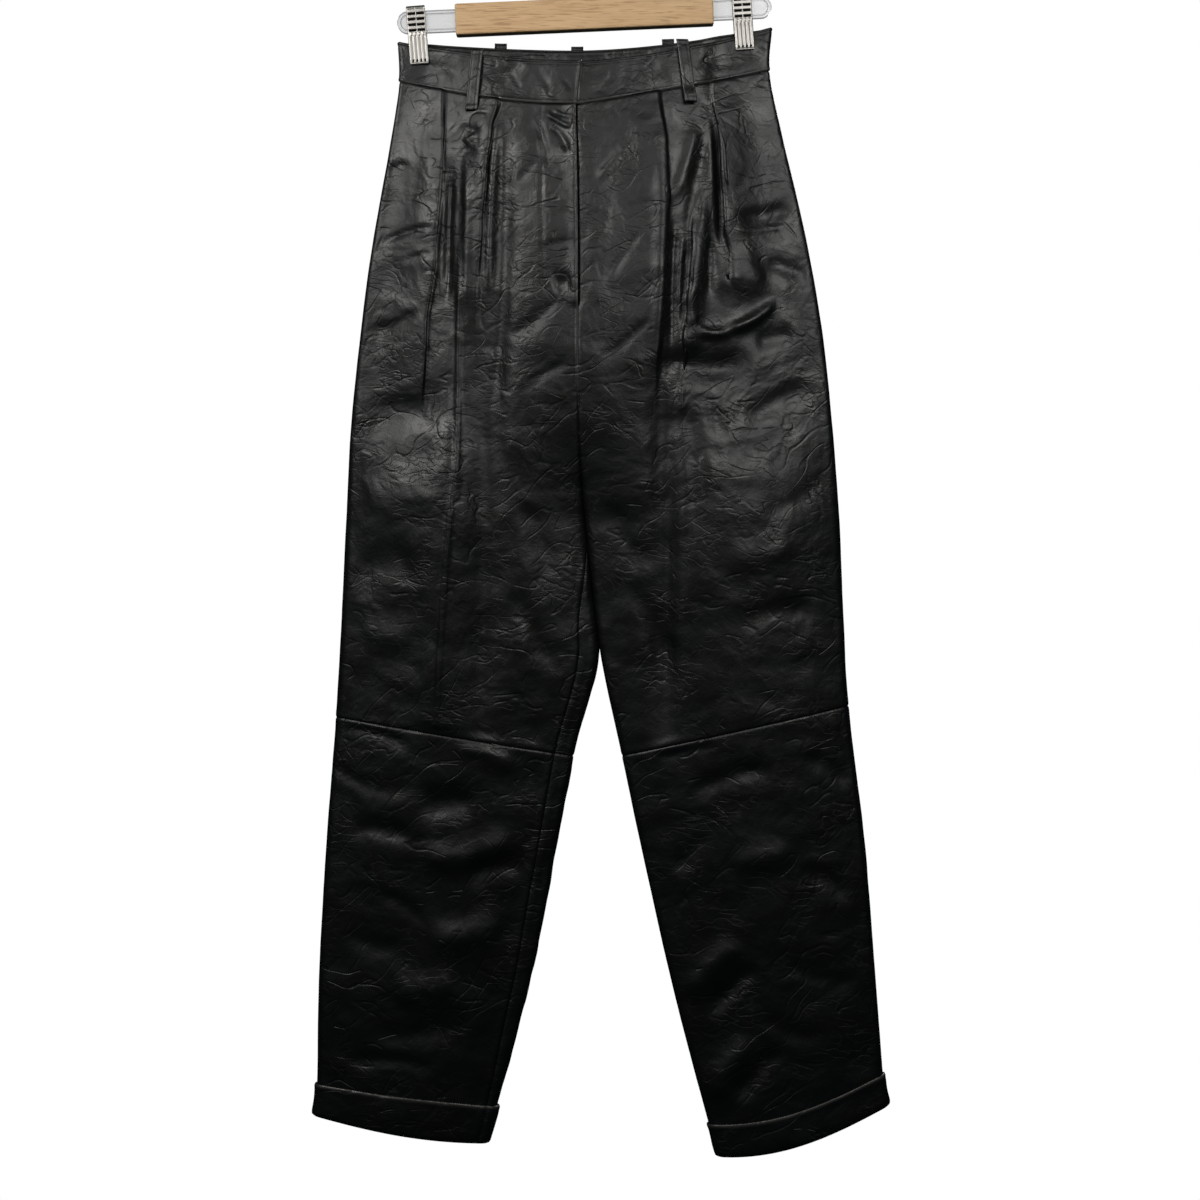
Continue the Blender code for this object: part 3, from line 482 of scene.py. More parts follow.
INNER_RIGHT = [
    PleatRow(-180, 66, 3.0, 0.0),
    PleatRow(-225, 72, 5.5, 1.2),
    PleatRow(-275, 73, 6.5, 2.0),
    PleatRow(-335, 70, 6.0, 1.6),
    PleatRow(-406, 66, 3.6, 0.0),
    PleatRow(-470, 65, 0.0, 0.0),
    PleatRow(-775, 82, 0.0, 0.0),
]
PLEATS = {
    "left": [Pleat(SIDE, 44, OUTER_LEFT), Pleat(SIDE, 22, INNER_LEFT)],
    "right": [
        Pleat(SIDE, 40, OUTER_RIGHT),
        Pleat(SIDE, 19, MIDDLE_RIGHT),
        Pleat(CENTRE, 46, INNER_RIGHT),
    ],
}
PLEAT_WIDTH = 3.2  # half the width of the step, across its edge line
PLEAT_STATIONS = np.linspace(-1.0, 1.0, 13)
FRONT_STRETCHES = {"left": (34, 20, 44), "right": (34, 9, 9, 36)}  # columns between pleats
ROW_STEP = 2.3  # down the cloth
CENTRE_LAP = 1.2  # how far the left half reaches over the right, down to the crotch
CENTRE_LAP_WIDTH = 4.0


def eased(count, start_power=1.0, end_power=1.0):
    """Parts from 0 to 1 that crowd towards either end."""
    part = np.linspace(0.0, 1.0, count + 1)
    return (1 - part) * part**start_power + part * (1 - (1 - part) ** end_power)


def pleat_state(half, pleat, level):
    """Distance from the side, height and overhang of a pleat at each level."""
    places = [-row.z for row in pleat.rows]
    distance = half.width(level) / 2
    z_side, z_mid, bow = (half.value(name, level) for name in ("z_side", "z_mid", "bow"))
    for _ in range(3):  # a level's height depends on the place, so both are found in turns
        part = distance / half.width(level)
        run = (1 - bow) * part + bow * np.sin(math.pi / 2 * part)
        z = z_side + (z_mid - z_side) * run
        x = table_value(places, [row.x for row in pleat.rows], -z)
        distance = abs(half.value("x_side", level) - x)
    height = table_value(places, [row.height for row in pleat.rows], -z)
    overhang = table_value(places, [row.overhang for row in pleat.rows], -z)
    return distance, height, overhang


def raise_of(states, distance, own=None):
    """How far the pleats, other than one itself, lift the cloth at a distance."""
    total = 0.0
    for pleat, (edge, height, _) in states:
        if pleat is own:
            continue
        gap = (edge - distance) * pleat.toward
        settled = 1 - smooth((gap - PLEAT_WIDTH) / pleat.reach)
        total = total + np.where(gap > 0, height * settled, 0.0)
    return total


def bump_at(distance, width):
    """A soft bump of height 1 about a distance of 0."""
    return np.exp(-((distance / width) ** 2))


def centre_lap(half, level, places):
    """1 at the centre seam, down to where the legs part, and 0 away from it."""
    apart = 1 - np.minimum(1.0, FOLD_CLOSES * half.closed(level))
    return bump_at(half.length(level) - places, CENTRE_LAP_WIDTH) * apart


def front_columns(half, level):
    """Places, raises and sideways shifts of a front panel's columns, at levels given as a
    column of numbers."""
    states = [(pleat, pleat_state(half, pleat, level)) for pleat in PLEATS[half.name]]
    fold_extra = half.value("edge", level) * (math.pi / 2 - 1)
    start = half.side_seam(level)
    places, raises, shifts = [], [], []
    for order, count in enumerate(FRONT_STRETCHES[half.name]):
        last = order == len(states)
        edge = half.inseam(level) if last else states[order][1][0] + fold_extra
        end = edge if last else edge - PLEAT_WIDTH
        parts = eased(count, 1.5 if order == 0 else 1.0, 1.5 if last else 1.0)
        parts = parts[0 if order == 0 else 1 : None if last else -1]
        stretch = start + (end - start) * parts
        places.append(stretch)
        raises.append(raise_of(states, half.distance(level, stretch)))
        over = CENTRE_LAP if last and half.name == "left" else 0.0
        shifts.append(over * centre_lap(half, level, stretch))
        if last:
            break
        pleat, (_, height, overhang) = states[order]
        stretch = edge + PLEAT_WIDTH * PLEAT_STATIONS
        own = height * (0.5 - 0.5 * np.sin(math.pi / 2 * PLEAT_STATIONS * pleat.toward))
        places.append(stretch)
        raises.append(own + raise_of(states, half.distance(level, stretch), own=pleat))
        shifts.append(-overhang * np.sin(math.pi * PLEAT_STATIONS))
        start = edge + PLEAT_WIDTH
    return [np.concatenate(parts, axis=1) for parts in (places, raises, shifts)]


def level_rows(first, last, end_share=0.0):
    """Levels about one row step apart, closer to the seams at both ends, as a column."""
    count = sum(
        max(1, round(abs(LEFT_LEVELS[n + 1].z_side - LEFT_LEVELS[n].z_side) / ROW_STEP))
        for n in range(LEVEL[first], LEVEL[last])
    )
    spread = eased(count, 1.25, 1.25)
    heights = [-row.z_side for row in LEFT_LEVELS[LEVEL[first] : LEVEL[last] + 1]]
    down = heights[0] + (heights[-1] - heights[0]) * spread
    levels = np.interp(down, heights, np.arange(LEVEL[first], LEVEL[last] + 1))
    half_gap = SEAM_GAP / 2 / ((heights[-1] - heights[0]) / (LEVEL[last] - LEVEL[first]))
    span = LEVEL[last] - LEVEL[first]
    shrink = (span - 2 * half_gap - end_share) / span
    return (LEVEL[first] + half_gap + (levels - LEVEL[first]) * shrink)[:, None]


def outward(points):
    """Unit normals of a grid of points, pointing away from the leg's middle."""
    down = np.gradient(points, axis=0)
    across = np.gradient(points, axis=1)
    normal = np.cross(down, across)
    if (normal[..., 1] * points[..., 1]).sum() < 0:
        normal = -normal
    return normal / np.linalg.norm(normal, axis=2, keepdims=True)


def run_along(points, axis):
    """Distances along a grid of points from both of its ends."""
    steps = np.linalg.norm(np.diff(points, axis=axis), axis=2)
    start = np.zeros_like(np.take(steps, [0], axis=axis))
    run = np.concatenate([start, np.cumsum(steps, axis=axis)], axis=axis)
    return run, np.take(run, [-1], axis=axis) - run


def noise_field(points, scale, seed, stretch=(1.0, 1.0, 1.0)):
    """Smooth noise of about one wave in scale millimetres, at each point of a grid."""
    spots = (points * np.array(stretch) / scale + seed * 17.3).reshape(-1, 3)
    return np.array([noise.noise(spot) for spot in map(Vector, spots)]).reshape(points.shape[:2])


# A crease is a soft trough, or a ridge where its depth is negative, from one point to another
# across the panel, bent sideways by bend and fading towards both ends.
Crease = namedtuple("Crease", "x1 z1 x2 z2 width depth bend")
CREASE_FADE = 3.5  # one part in this many of its length fades out at each end

FRONT_CREASES = [
    # left, from the side edge to the fly
    Crease(-179, -250, -159, -240, 3.0, 1.2, 2),
    Crease(-187, -313, -133, -299, 2.6, 1.8, 3),
    Crease(-165, -331, -134, -323, 2.2, 1.3, 2),
    Crease(-198, -392, -146, -372, 5.0, 1.6, -4),
    Crease(-205, -476, -112, -460, 17.0, 3.4, 6),
    Crease(-207, -530, -128, -538, 18.0, -2.4, -6),
    Crease(-212, -612, -148, -596, 15.0, 3.2, 7),
    Crease(-205, -655, -150, -668, 12.0, -2.4, -5),
    Crease(-124, -236, -129, -332, 1.8, -1.8, 0),
    Crease(-121, -232, -124, -376, 4.2, 5.4, -1),
    Crease(-106, -222, -108, -400, 4.0, -2.4, 1),
    Crease(-112, -206, -92, -214, 3.0, 1.0, -2),
    Crease(-110, -222, -98, -216, 3.4, -1.4, -2),
    Crease(-112, -231, -99, -232, 3.4, 1.3, 1),
    Crease(-78, -196, -86, -368, 4.0, -3.6, -2),
    Crease(-73, -196, -83, -470, 9.0, 4.4, 3),
    Crease(-48, -198, -34, -250, 3.4, 2.0, 3),
    Crease(-36, -196, -9, -212, 2.2, 1.8, -2),
    Crease(-30, -194, -10, -202, 2.0, -1.2, -2),
    Crease(-34, -206, -14, -238, 3.2, 1.8, 3),
    Crease(-62, -262, -42, -240, 3.0, 1.2, 1),
    Crease(-36, -318, -12, -314, 2.2, 1.0, 1),
    Crease(-30, -352, -12, -348, 8.0, 2.6, 0),
    Crease(-86, -340, -92, -790, 17.0, 7.0, 3),
    Crease(-120, -420, -136, -790, 20.0, -5.0, 0),
    Crease(-112, -290, -114.5, -570, 2.4, -2.6, 0),
    Crease(-113, -490, -134, -790, 2.4, -2.6, -3),
    Crease(-60, -540, -30, -620, 10.0, 2.4, 5),
    Crease(-64, -610, -22, -700, 9.0, 2.2, -6),
    Crease(-75, -400, -22, -360, 5.0, 1.6, -5),
    Crease(-40.5, -180, -38.7, -352, 1.3, 0.6, 0),
    Crease(-40.0, -338, -24, -372, 1.3, 0.6, -3),
    Crease(-33, -365, -2, -372, 1.3, 0.6, -1),
    Crease(-60, -450, -14, -420, 4.0, 1.4, 3),
    # right, from the fly to the side edge
    Crease(8, -262, 44, -222, 3.0, 1.2, 2),
    Crease(18, -352, 52, -300, 4.0, 1.4, 2),
    Crease(10, -420, 58, -380, 4.0, 1.6, -3),
    Crease(68, -214, 62, -440, 7.0, -3.4, 2),
    Crease(80, -285, 77, -420, 4.6, 3.6, -1),
    Crease(93, -300, 87, -402, 3.6, 5.0, -1),
    Crease(102, -240, 102, -350, 5.4, -1.8, 1),
    Crease(115.5, -194, 121.5, -326, 2.6, 7.0, 0),
    Crease(112.5, -304, 110, -364, 2.2, 4.6, 0),
    Crease(98, -198, 72, -282, 6.0, -2.4, 6),
    Crease(106, -204, 86, -322, 7.0, 2.6, 4),
    Crease(92, -352, 97, -392, 3.4, -4.4, -3),
    Crease(95, -390, 130, -393, 4.0, -4.8, -3),
    Crease(120, -393, 172, -362, 4.4, -4.8, -5),
    Crease(112, -352, 162, -336, 17.0, -4.4, 0),
    Crease(60, -416, 152, -418, 13.0, 6.0, -7),
    Crease(150, -405, 188, -392, 8.0, 2.8, 2),
    Crease(128, -302, 180, -296, 1.8, -1.6, -2),
    Crease(134, -290, 186, -278, 7.0, 2.4, -3),
    Crease(160, -330, 200, -345, 6.0, 2.0, 3),
    Crease(104, -445, 122, -492, 4.0, 2.4, 2),
    Crease(84, -436, 86, -470, 3.4, -1.6, 0),
    Crease(140, -478, 210, -440, 10.0, 2.6, 6),
    Crease(150, -560, 222, -516, 9.0, 1.5, -5),
    Crease(130, -655, 212, -640, 10.0, 2.8, 5),
    Crease(120, -600, 190, -590, 12.0, -2.0, 4),
    Crease(20, -540, 60, -610, 9.0, 2.4, -5),
    Crease(34, -610, 74, -705, 10.0, 2.6, 6),
    Crease(70, -390, 66, -790, 14.0, 8.4, 1),
    Crease(90, -436, 98, -590, 7.0, 3.2, 2),
]


def creased(points, creases):
    """How far the creases lower each point of a grid, seen from the front."""
    total = np.zeros(points.shape[:2])
    x, z = points[..., 0], points[..., 2]
    for crease in creases:
        along = np.array([crease.x2 - crease.x1, crease.z2 - crease.z1], float)
        length = np.hypot(*along)
        along /= length
        part = ((x - crease.x1) * along[0] + (z - crease.z1) * along[1]) / length
        aside = (z - crease.z1) * along[0] - (x - crease.x1) * along[1]
        aside = aside - crease.bend * 4 * part * (1 - part)
        fade = smooth(part * CREASE_FADE) * smooth((1 - part) * CREASE_FADE)
        total += crease.depth * bump_at(aside, crease.width) * fade
    return total


# The soft waves and dents that a tumbled skin keeps.
Wave = namedtuple("Wave", "height scale stretch", defaults=[(1.0, 1.0, 1.0)])
CRINKLE = [
    Wave(1.6, 62.0, (1.0, 0.5, 0.8)),
    Wave(0.8, 27.0, (0.9, 0.5, 1.2)),
    Wave(0.25, 12.0, (0.9, 0.5, 1.2)),
]


def rippled(points, seed, waves):
    """The sum of some waves at each point of a grid, in millimetres."""
    return sum(
        wave.height * noise_field(points, wave.scale, seed + number, wave.stretch)
        for number, wave in enumerate(waves)
    )


def seam_dip(run, depth=0.9, width=1.1, ridge=0.35):
    """The cloth turns in at a sewn edge, and swells a little over the allowance behind it."""
    return ridge * bump_at(run - ALLOWANCE_MIDDLE, ALLOWANCE_HALF) - depth * bump_at(run, width)


MM = 0.001
LEATHER = 1.3  # wall of a panel


def add_piece(name, form, *materials):
    """A new object in the scene with the form's mesh, which takes the form up."""
    mesh = bpy.data.meshes.new(name)
    form.to_mesh(mesh)
    form.free()
    for material in materials:
        mesh.materials.append(material)
    piece = bpy.data.objects.new(name, mesh)
    bpy.context.scene.collection.objects.link(piece)
    return piece


def cloth_mesh(name, points, material, wall=LEATHER, marks=None):
    """A grid of points as a sheet with a wall behind it. Its material reads the marks, from 0
    to 1: on leather a lighter edge line, partly rubbed wear and partly a painted highlight; on
    the metal, painted shade deep in its slots and dents."""
    rows, columns = points.shape[:2]
    form = bmesh.new()
    bmesh.ops.create_grid(form, x_segments=columns - 1, y_segments=rows - 1, size=0.5)
    piece = add_piece(name, form, material)
    mesh = piece.data
    flat = np.empty(len(mesh.vertices) * 3)
    mesh.vertices.foreach_get("co", flat)
    flat = flat.reshape(-1, 3)
    column = np.rint((flat[:, 0] + 0.5) * (columns - 1)).astype(int)
    row = np.rint((flat[:, 1] + 0.5) * (rows - 1)).astype(int)
    mesh.vertices.foreach_set("co", (points[row, column] * MM).ravel())
    if marks is not None:
        spread = np.broadcast_to(marks, (rows, columns))[row, column]
        mesh.attributes.new("marks", "FLOAT", "POINT").data.foreach_set("value", spread.ravel())
    mesh.shade_smooth()
    if not faces_outward(mesh):
        mesh.flip_normals()
    if wall:
        solid = piece.modifiers.new("wall", "SOLIDIFY")
        solid.thickness = wall * MM
        solid.offset = -1.0
    return piece


def faces_outward(mesh):
    """Whether most of a leg panel's faces look away from the middle plane."""
    centres, normals = np.empty(len(mesh.polygons) * 3), np.empty(len(mesh.polygons) * 3)
    mesh.polygons.foreach_get("center", centres)
    mesh.polygons.foreach_get("normal", normals)
    return (centres[1::3] * normals[1::3]).sum() > 0


def finish_cloth(piece, node):
    """Fits a sheet of leather in place of its solid."""
    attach(piece, "root")
    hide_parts(node)


ALLOWANCE_MIDDLE, ALLOWANCE_HALF = 4.0, 2.6  # the swelling over a seam's allowance
ALLOWANCE = 1.8  # a panel's top edge runs on this far under the piece above it
ALLOWANCE_SUNK = 0.7
FLAT_SEAM = [0.5, 0.8, 0.12]  # the waist and knee seams are pressed flatter
INTO_BAND = -0.1  # under the doubled waistband a panel's top edge needs no sinking
PRESSED = 0.4  # how far each leg bulges past its fold where the two legs press together
PRESSED_REACH = 8.0
FOLD_REACH = 7.0  # how far from the legs' inner folds a panel's bulges lean away from them
CRINKLE_REACH, CREASE_REACH = 14.0, 10.0  # both are full this far from a seam
CRINKLE_AT_SEAM = 0.15
FLY_END, CENTRE_END = -374.0, -470.0  # heights, and how far above them a lap is full
FLY_FADE, CENTRE_FADE = 8.0, 20.0
# Width and fade of a lighter line painted along the fly's edge: a painted highlight, partly
# rubbed wear.
FLY_EDGE_WEAR_AND_HIGHLIGHT, WEAR_AND_HIGHLIGHT_FADE = 1.3, 60.0


def lay_panel(name, half, levels, columns, seed, creases, sunk, lap=None, edge_wear_and_highlight=0.0):
    """Shapes a panel's points: the half tube, its pleats, the creases and the crinkle."""
    points = half.point(levels, *columns)
    normal = outward(points)
    from_fold = np.abs(columns[0] - half.length(levels))
    meet = np.minimum(1.0, FOLD_CLOSES * half.closed(levels))
    normal[..., 0] *= 1 - (1 - meet) * bump_at(from_fold, FOLD_REACH)
    normal /= np.linalg.norm(normal, axis=2, keepdims=True)
    from_start, from_end = run_along(points, 1)
    from_top, from_bottom = run_along(points, 0)
    nearest = np.minimum(np.minimum(from_start, from_end), np.minimum(from_top, from_bottom))
    free = CRINKLE_AT_SEAM + (1 - CRINKLE_AT_SEAM) * smooth(nearest / CRINKLE_REACH)
    lift = rippled(points, seed, CRINKLE) * free
    lift = lift - creased(points, creases) * smooth(nearest / CREASE_REACH)
    lift = lift + seam_dip(from_start) + seam_dip(from_end)
    lift = lift + seam_dip(from_top, *FLAT_SEAM) + seam_dip(from_bottom, *FLAT_SEAM)
    if lap is not None:
        lift = lift + lap(points, from_start, from_end)
    touching = np.where(levels < LEVEL["fork"], meet, 0.0) * bump_at(from_fold, PRESSED_REACH)
    lift = lift * (1 - touching) + PRESSED * touching
    points = points + normal * lift[..., None]
    up = points[0] - points[2]
    up /= np.linalg.norm(up, axis=1, keepdims=True)
    points[0] += up * ALLOWANCE - normal[0] * sunk
    # A lighter line is painted along the fly's edge above the centre's end: a painted highlight,
    # partly rubbed wear.
    above_end = smooth((points[..., 2] - CENTRE_END) / WEAR_AND_HIGHLIGHT_FADE)
    sewn = bump_at(from_end, FLY_EDGE_WEAR_AND_HIGHLIGHT) * above_end
    return cloth_mesh(name, points, leather, marks=edge_wear_and_highlight * sewn)


FLY_LAP_WIDTH = 9.0
CENTRE_EDGE, CENTRE_EDGE_WIDTH = 0.4, 5.0  # the lap that goes on below the fly


def fly_lap(proud):
    """Down to the end of the fly, the left front laps over the right at the centre."""

    def lift(points, from_start, from_end):
        z = points[..., 2]
        along = smooth((z - FLY_END) / FLY_FADE)
        edge = bump_at(from_end, CENTRE_EDGE_WIDTH) * smooth((z - CENTRE_END) / CENTRE_FADE)
        edge = math.copysign(CENTRE_EDGE, proud) * edge
        return along * proud * bump_at(from_end, FLY_LAP_WIDTH) + edge

    return lift


front_levels = level_rows("waist_seam", "knee")
for half, proud, seed, edge_wear_and_highlight in ((LEFT, 2.2, 1, 0.8), (RIGHT, -1.6, 11, 0.0)):
    name = f"front_{half.name}"
    columns = front_columns(half, front_levels)
    cut = [f"{name}_leather", half, front_levels, columns, seed, FRONT_CREASES, INTO_BAND]
    piece = lay_panel(*cut, fly_lap(proud), edge_wear_and_highlight)
    finish_cloth(piece, name)

# ------------
# The back panels: one plain skin each side, from the waistband to the knee seam. They are
# sewn to each other at the centre and to the fronts at the sides and the inseams, and have
# bagged softly under the seat and behind the knee.

BACK_CREASES = [
    Crease(-150, -540, -30, -575, 9.0, 2.6, -8),
    Crease(-190, -600, -90, -590, 10.0, 2.0, 6),
    Crease(-205, -420, -140, -400, 9.0, 1.8, 4),
    Crease(-120, -690, -40, -715, 8.0, 1.8, -4),
    Crease(-200, -720, -150, -700, 7.0, 1.6, 3),
    Crease(-95, -300, -110, -420, 9.0, 1.4, 4),
    Crease(60, -575, 180, -545, 10.0, 2.6, 7),
    Crease(110, -610, 215, -625, 9.0, 1.8, -5),
    Crease(140, -405, 205, -430, 8.0, 1.8, 4),
    Crease(70, -700, 150, -690, 9.0, 2.0, -5),
    Crease(170, -720, 225, -705, 7.0, 1.4, 3),
    Crease(95, -300, 112, -430, 9.0, 1.4, -4),
    Crease(-60, -215, -40, -260, 5.0, 1.0, 2),
    Crease(45, -215, 62, -258, 5.0, 1.0, -2),
]
JUST_BEHIND = 0.001  # past the middle line, so a place at the waist counts as the back's
UNDER = 0.5  # how deep the left half goes under the right one
BACK_COLUMNS = 104
CROWDED = (1.4, 1.4)  # columns crowd towards the seams on both sides


def back_columns(half, level, count):
    """Places, raises and sideways shifts of a back panel's columns. At the centre seam the
    left one reaches under the right one."""
    start = half.inseam(level) + JUST_BEHIND
    end = 2 * half.length(level) + half.side_seam(level)
    places = start + (end - start) * eased(count, *CROWDED)
    over = centre_lap(half, level, places) * (half.name == "left")
    return [places, -UNDER * over, CENTRE_LAP * over]


for half, seed in ((LEFT, 21), (RIGHT, 31)):
    name = f"back_{half.name}"
    columns = back_columns(half, front_levels, BACK_COLUMNS)
    cut = [f"{name}_leather", half, front_levels, columns, seed, BACK_CREASES, INTO_BAND]
    piece = lay_panel(*cut)
    finish_cloth(piece, name)

# ------------
# The shin panels: the front and the back of each leg below the knee seam, cut from smaller
# skins. They are sewn to the panels above and to each other, and run on under the turn-ups.

HEM_RISE = 0.075  # in levels, how far above the hem the panels end
SHIN_COLUMNS = 84
SHIN_CREASES = [
    Crease(-222, -742, -150, -770, 7.0, 2.0, 6),
    Crease(-205, -790, -150, -800, 10.0, 2.0, -6),
    Crease(-120, -760, -60, -790, 10.0, -2.4, 8),
    Crease(-152, -820, -96, -814, 13.0, 4.4, 4),
    Crease(-152, -862, -60, -846, 12.0, -4.4, -6),
    Crease(-216, -838, -150, -846, 9.0, 3.0, 5),
    Crease(-108, -876, -50, -870, 12.0, 4.0, 4),
    Crease(-146, -936, -68, -922, 15.0, -4.6, -3),
    Crease(-190, -895, -140, -925, 7.0, 1.6, 6),
    Crease(-215, -930, -160, -940, 9.0, 2.0, -7),
    Crease(-176, -984, -110, -974, 14.0, -4.2, 0),
    Crease(-200, -1020, -100, -1008, 12.0, 2.4, -5),
    Crease(-225, -1046, -130, -1052, 8.0, 1.8, 6),
    Crease(-234, -780, -190, -806, 6.0, 1.6, 3),
    Crease(60, -775, 120, -760, 8.0, 2.0, 5),
    Crease(90, -806, 170, -782, 8.0, 2.6, 5),
    Crease(190, -770, 238, -800, 8.0, 2.0, 4),
    Crease(126, -872, 190, -858, 12.0, -3.0, 3),
    Crease(80, -880, 110, -840, 9.0, 2.0, 4),
    Crease(88, -992, 142, -934, 11.0, -4.4, 3),
    Crease(108, -1006, 156, -956, 8.0, 3.4, 3),
    Crease(112, -1086, 152, -1018, 11.0, -4.0, 3),
    Crease(132, -1082, 178, -1030, 8.0, 3.0, 3),
    Crease(150, -1000, 222, -1024, 8.0, 2.0, -6),
    Crease(190, -870, 240, -905, 8.0, 2.4, 5),
    Crease(175, -955, 250, -975, 9.0, 2.0, -5),
]


def front_places(half, level, count):
    """Places of the columns of a shin's front panel."""
    start, end = half.side_seam(level), half.inseam(level)
    return [start + (end - start) * eased(count, *CROWDED)]


SHIN_FACES = [("front", front_places, 0, 0.069), ("back", back_columns, 5, 0.075)]
shin_levels = level_rows("knee", "hem", HEM_RISE)
for half, seed in ((LEFT, 41), (RIGHT, 51)):
    for face, columns_of, offset, area in SHIN_FACES:
        name = f"shin_{face}_{half.name}"
        columns = columns_of(half, shin_levels, SHIN_COLUMNS)
        cut = [f"{name}_leather", half, shin_levels, columns, seed + offset, SHIN_CREASES]
        piece = lay_panel(*cut, ALLOWANCE_SUNK)
        finish_cloth(piece, name)

# ------------
# The turn-up cuffs: each leg's hem turned out and up round the leg, with a soft fold below.
# The top edge is turned in and pressed; a thin light line is painted along it, a painted
# highlight with some rubbed wear.

# The section of a turn-up: how far below its top edge, and how far out of the leg's surface.
# It goes over the top edge, down the face, round the fold and up inside the leg.
CUFF_DEPTH = 30.0
CUFF_FACE = [
    (down, 2.0 + 0.4 * math.sin(math.pi * down / 26)) for down in np.arange(2.2, 26.5, 1.35)
]
CUFF_SECTION = [
    *[(3.0, 0.4), (1.2, 0.4), (0.5, 0.5), (0.1, 0.8), (0.0, 1.25), (0.2, 1.75), (0.8, 2.2)],
    *[(1.4, 2.2), *CUFF_FACE, (28.0, 1.7), (29.2, 1.0), (29.8, 0.1), (30.0, -0.7)],
    *[(29.8, -1.6), (29.2, -2.4), (28.2, -3.0), (26.0, -3.2), (17.2, -3.2), (16.6, -2.9)],
    *[(16.6, -2.0), (17.2, -1.75), (26.0, -1.7), (28.2, -1.6), (28.4, -0.6), (28.2, 0.3)],
    *[(26.0, 0.4), (15.0, 0.4), (3.0, 0.4)],
]
CUFF_PLACES = 300
CUFF_CRINKLE = [Wave(0.9, 34.0), Wave(0.4, 13.0)]
CUFF_SEAM = [0.8, 0.7, 0.5]
CUFF_DENT = 1.2  # its face dents in by no more, as the leg lies behind it


def ring_mesh(name, points, material, wear_and_highlight):
    """A sheet whose four edges close on each other, as a tube bent into a ring."""
    piece = cloth_mesh(name, points, material, wall=0.0, marks=wear_and_highlight)
    form = bmesh.new()
    form.from_mesh(piece.data)
    bmesh.ops.remove_doubles(form, verts=form.verts[:], dist=0.00001)
    bmesh.ops.recalc_face_normals(form, faces=form.faces[:])
    form.to_mesh(piece.data)
    form.free()
    return piece


def skin_normal(half, level, place):
    """Unit normals of a half's surface, pointing out of the leg."""
    down = half.point(level + 0.02, place) - half.point(level - 0.02, place)
    across = half.point(level, place + 0.4) - half.point(level, place - 0.4)
    normal = np.cross(down, across) * half.inward
    return normal / np.linalg.norm(normal, axis=2, keepdims=True)


for half, seed in ((LEFT, 61), (RIGHT, 71)):
    down, out = (np.array(values)[:, None] for values in zip(*CUFF_SECTION))
    cuff_levels = LEVEL["cuff_top"] + down / CUFF_DEPTH
    start = half.side_seam(cuff_levels)
    around = start + 2 * half.length(cuff_levels) * np.linspace(0, 1, CUFF_PLACES + 1)
    points = half.point(cuff_levels, around)
    normal = skin_normal(half, cuff_levels, around)
    on_face = smooth((out - 1.2) / 0.8)
    lift = rippled(points, seed, CUFF_CRINKLE) * smooth(down / 4)
    lift = lift + 0.3 * noise_field(points, 30.0, seed + 2)
    for seam in (half.inseam(cuff_levels), start, start + 2 * half.length(cuff_levels)):
        lift = lift + seam_dip(np.abs(around - seam), *CUFF_SEAM)
    points = points + normal * (out + np.maximum(lift, -CUFF_DENT) * on_face)[..., None]
    points[:, -1] = points[:, 0]
    # A thin light line painted along the top edge: a painted highlight, with some rubbed wear.
    wear_and_highlight = 0.8 * bump_at(down, 1.0) * on_face
    name = f"cuff_{half.name}"
    piece = ring_mesh(f"{name}_leather", points, leather, wear_and_highlight)
    finish_cloth(piece, name)

# ------------
# The waistband: doubled leather, two front bands and one back band, turned in along both
# edges and stitched below the top. The left front laps over the right at the centre.

BAND_WALL = 1.7
BAND_PROUD = 0.5  # of the panels below
BAND_HEIGHT = 36.3
BAND_LAP = 2.6  # how far the left front reaches over the right
BAND_ENDS = 0.9965  # of the way down to the waist seam
BAND_STITCHES = 3.6  # how far below the top edge the sewing runs
BAND_CRINKLE = [Wave(1.0, 36.0), Wave(0.5, 14.0)]
EDGE_STEPS = np.array([0.0, 0.3, 0.7, 1.2, 1.8, 2.5, 3.3, 4.2])

BAND_CREASES = {
    "front": [
        Crease(-150, -152, -112, -161, 4.0, 0.9, 2),
        Crease(-134, -140, -104, -148, 2.4, -0.5, 1),
        Crease(-96, -166, -52, -152, 5.0, 0.9, -3),
        Crease(-70, -158, -58, -176, 1.6, 0.6, 1),
        Crease(-46, -156, -30, -184, 3.0, 0.7, 2),
        Crease(-24, -164, -12, -180, 1.6, 0.5, 1),
        Crease(8, -180, 26, -158, 3.0, 0.7, -2),
        Crease(30, -172, 44, -184, 1.8, 0.6, 1),
        Crease(46, -141, 62, -155, 1.6, 0.8, 1),
        Crease(64, -150, 78, -172, 2.4, 0.7, -2),
        Crease(98, -157, 112, -141, 1.8, 0.9, -1),
        Crease(100, -150, 156, -144, 5.0, 1.0, -3),
        Crease(126, -128, 140, -138, 1.8, 0.7, 1),
        Crease(150, -134, 163, -144, 1.8, 0.7, 1),
    ],
    "back": [
        Crease(-60, -131, -57, -150, 1.7, 0.9, 1),
        Crease(-49, -132, -52, -152, 1.6, 0.8, -1),
        Crease(-40, -133, -37, -148, 1.4, 0.8, 1),
        Crease(-30, -133, -33, -150, 1.7, 0.9, 1),
        Crease(-21, -134, -18, -150, 1.5, 0.7, -1),
        Crease(14, -133, 18, -150, 1.7, 0.8, 1),
        Crease(28, -132, 24, -152, 1.5, 0.8, 1),
        Crease(40, -131, 43, -148, 1.6, 0.8, -1),
        Crease(56, -130, 52, -150, 1.7, 0.8, 1),
        Crease(-140, -142, -100, -150, 3.0, 0.7, 2),
        Crease(96, -146, 140, -136, 3.0, 0.7, 2),
    ],
}


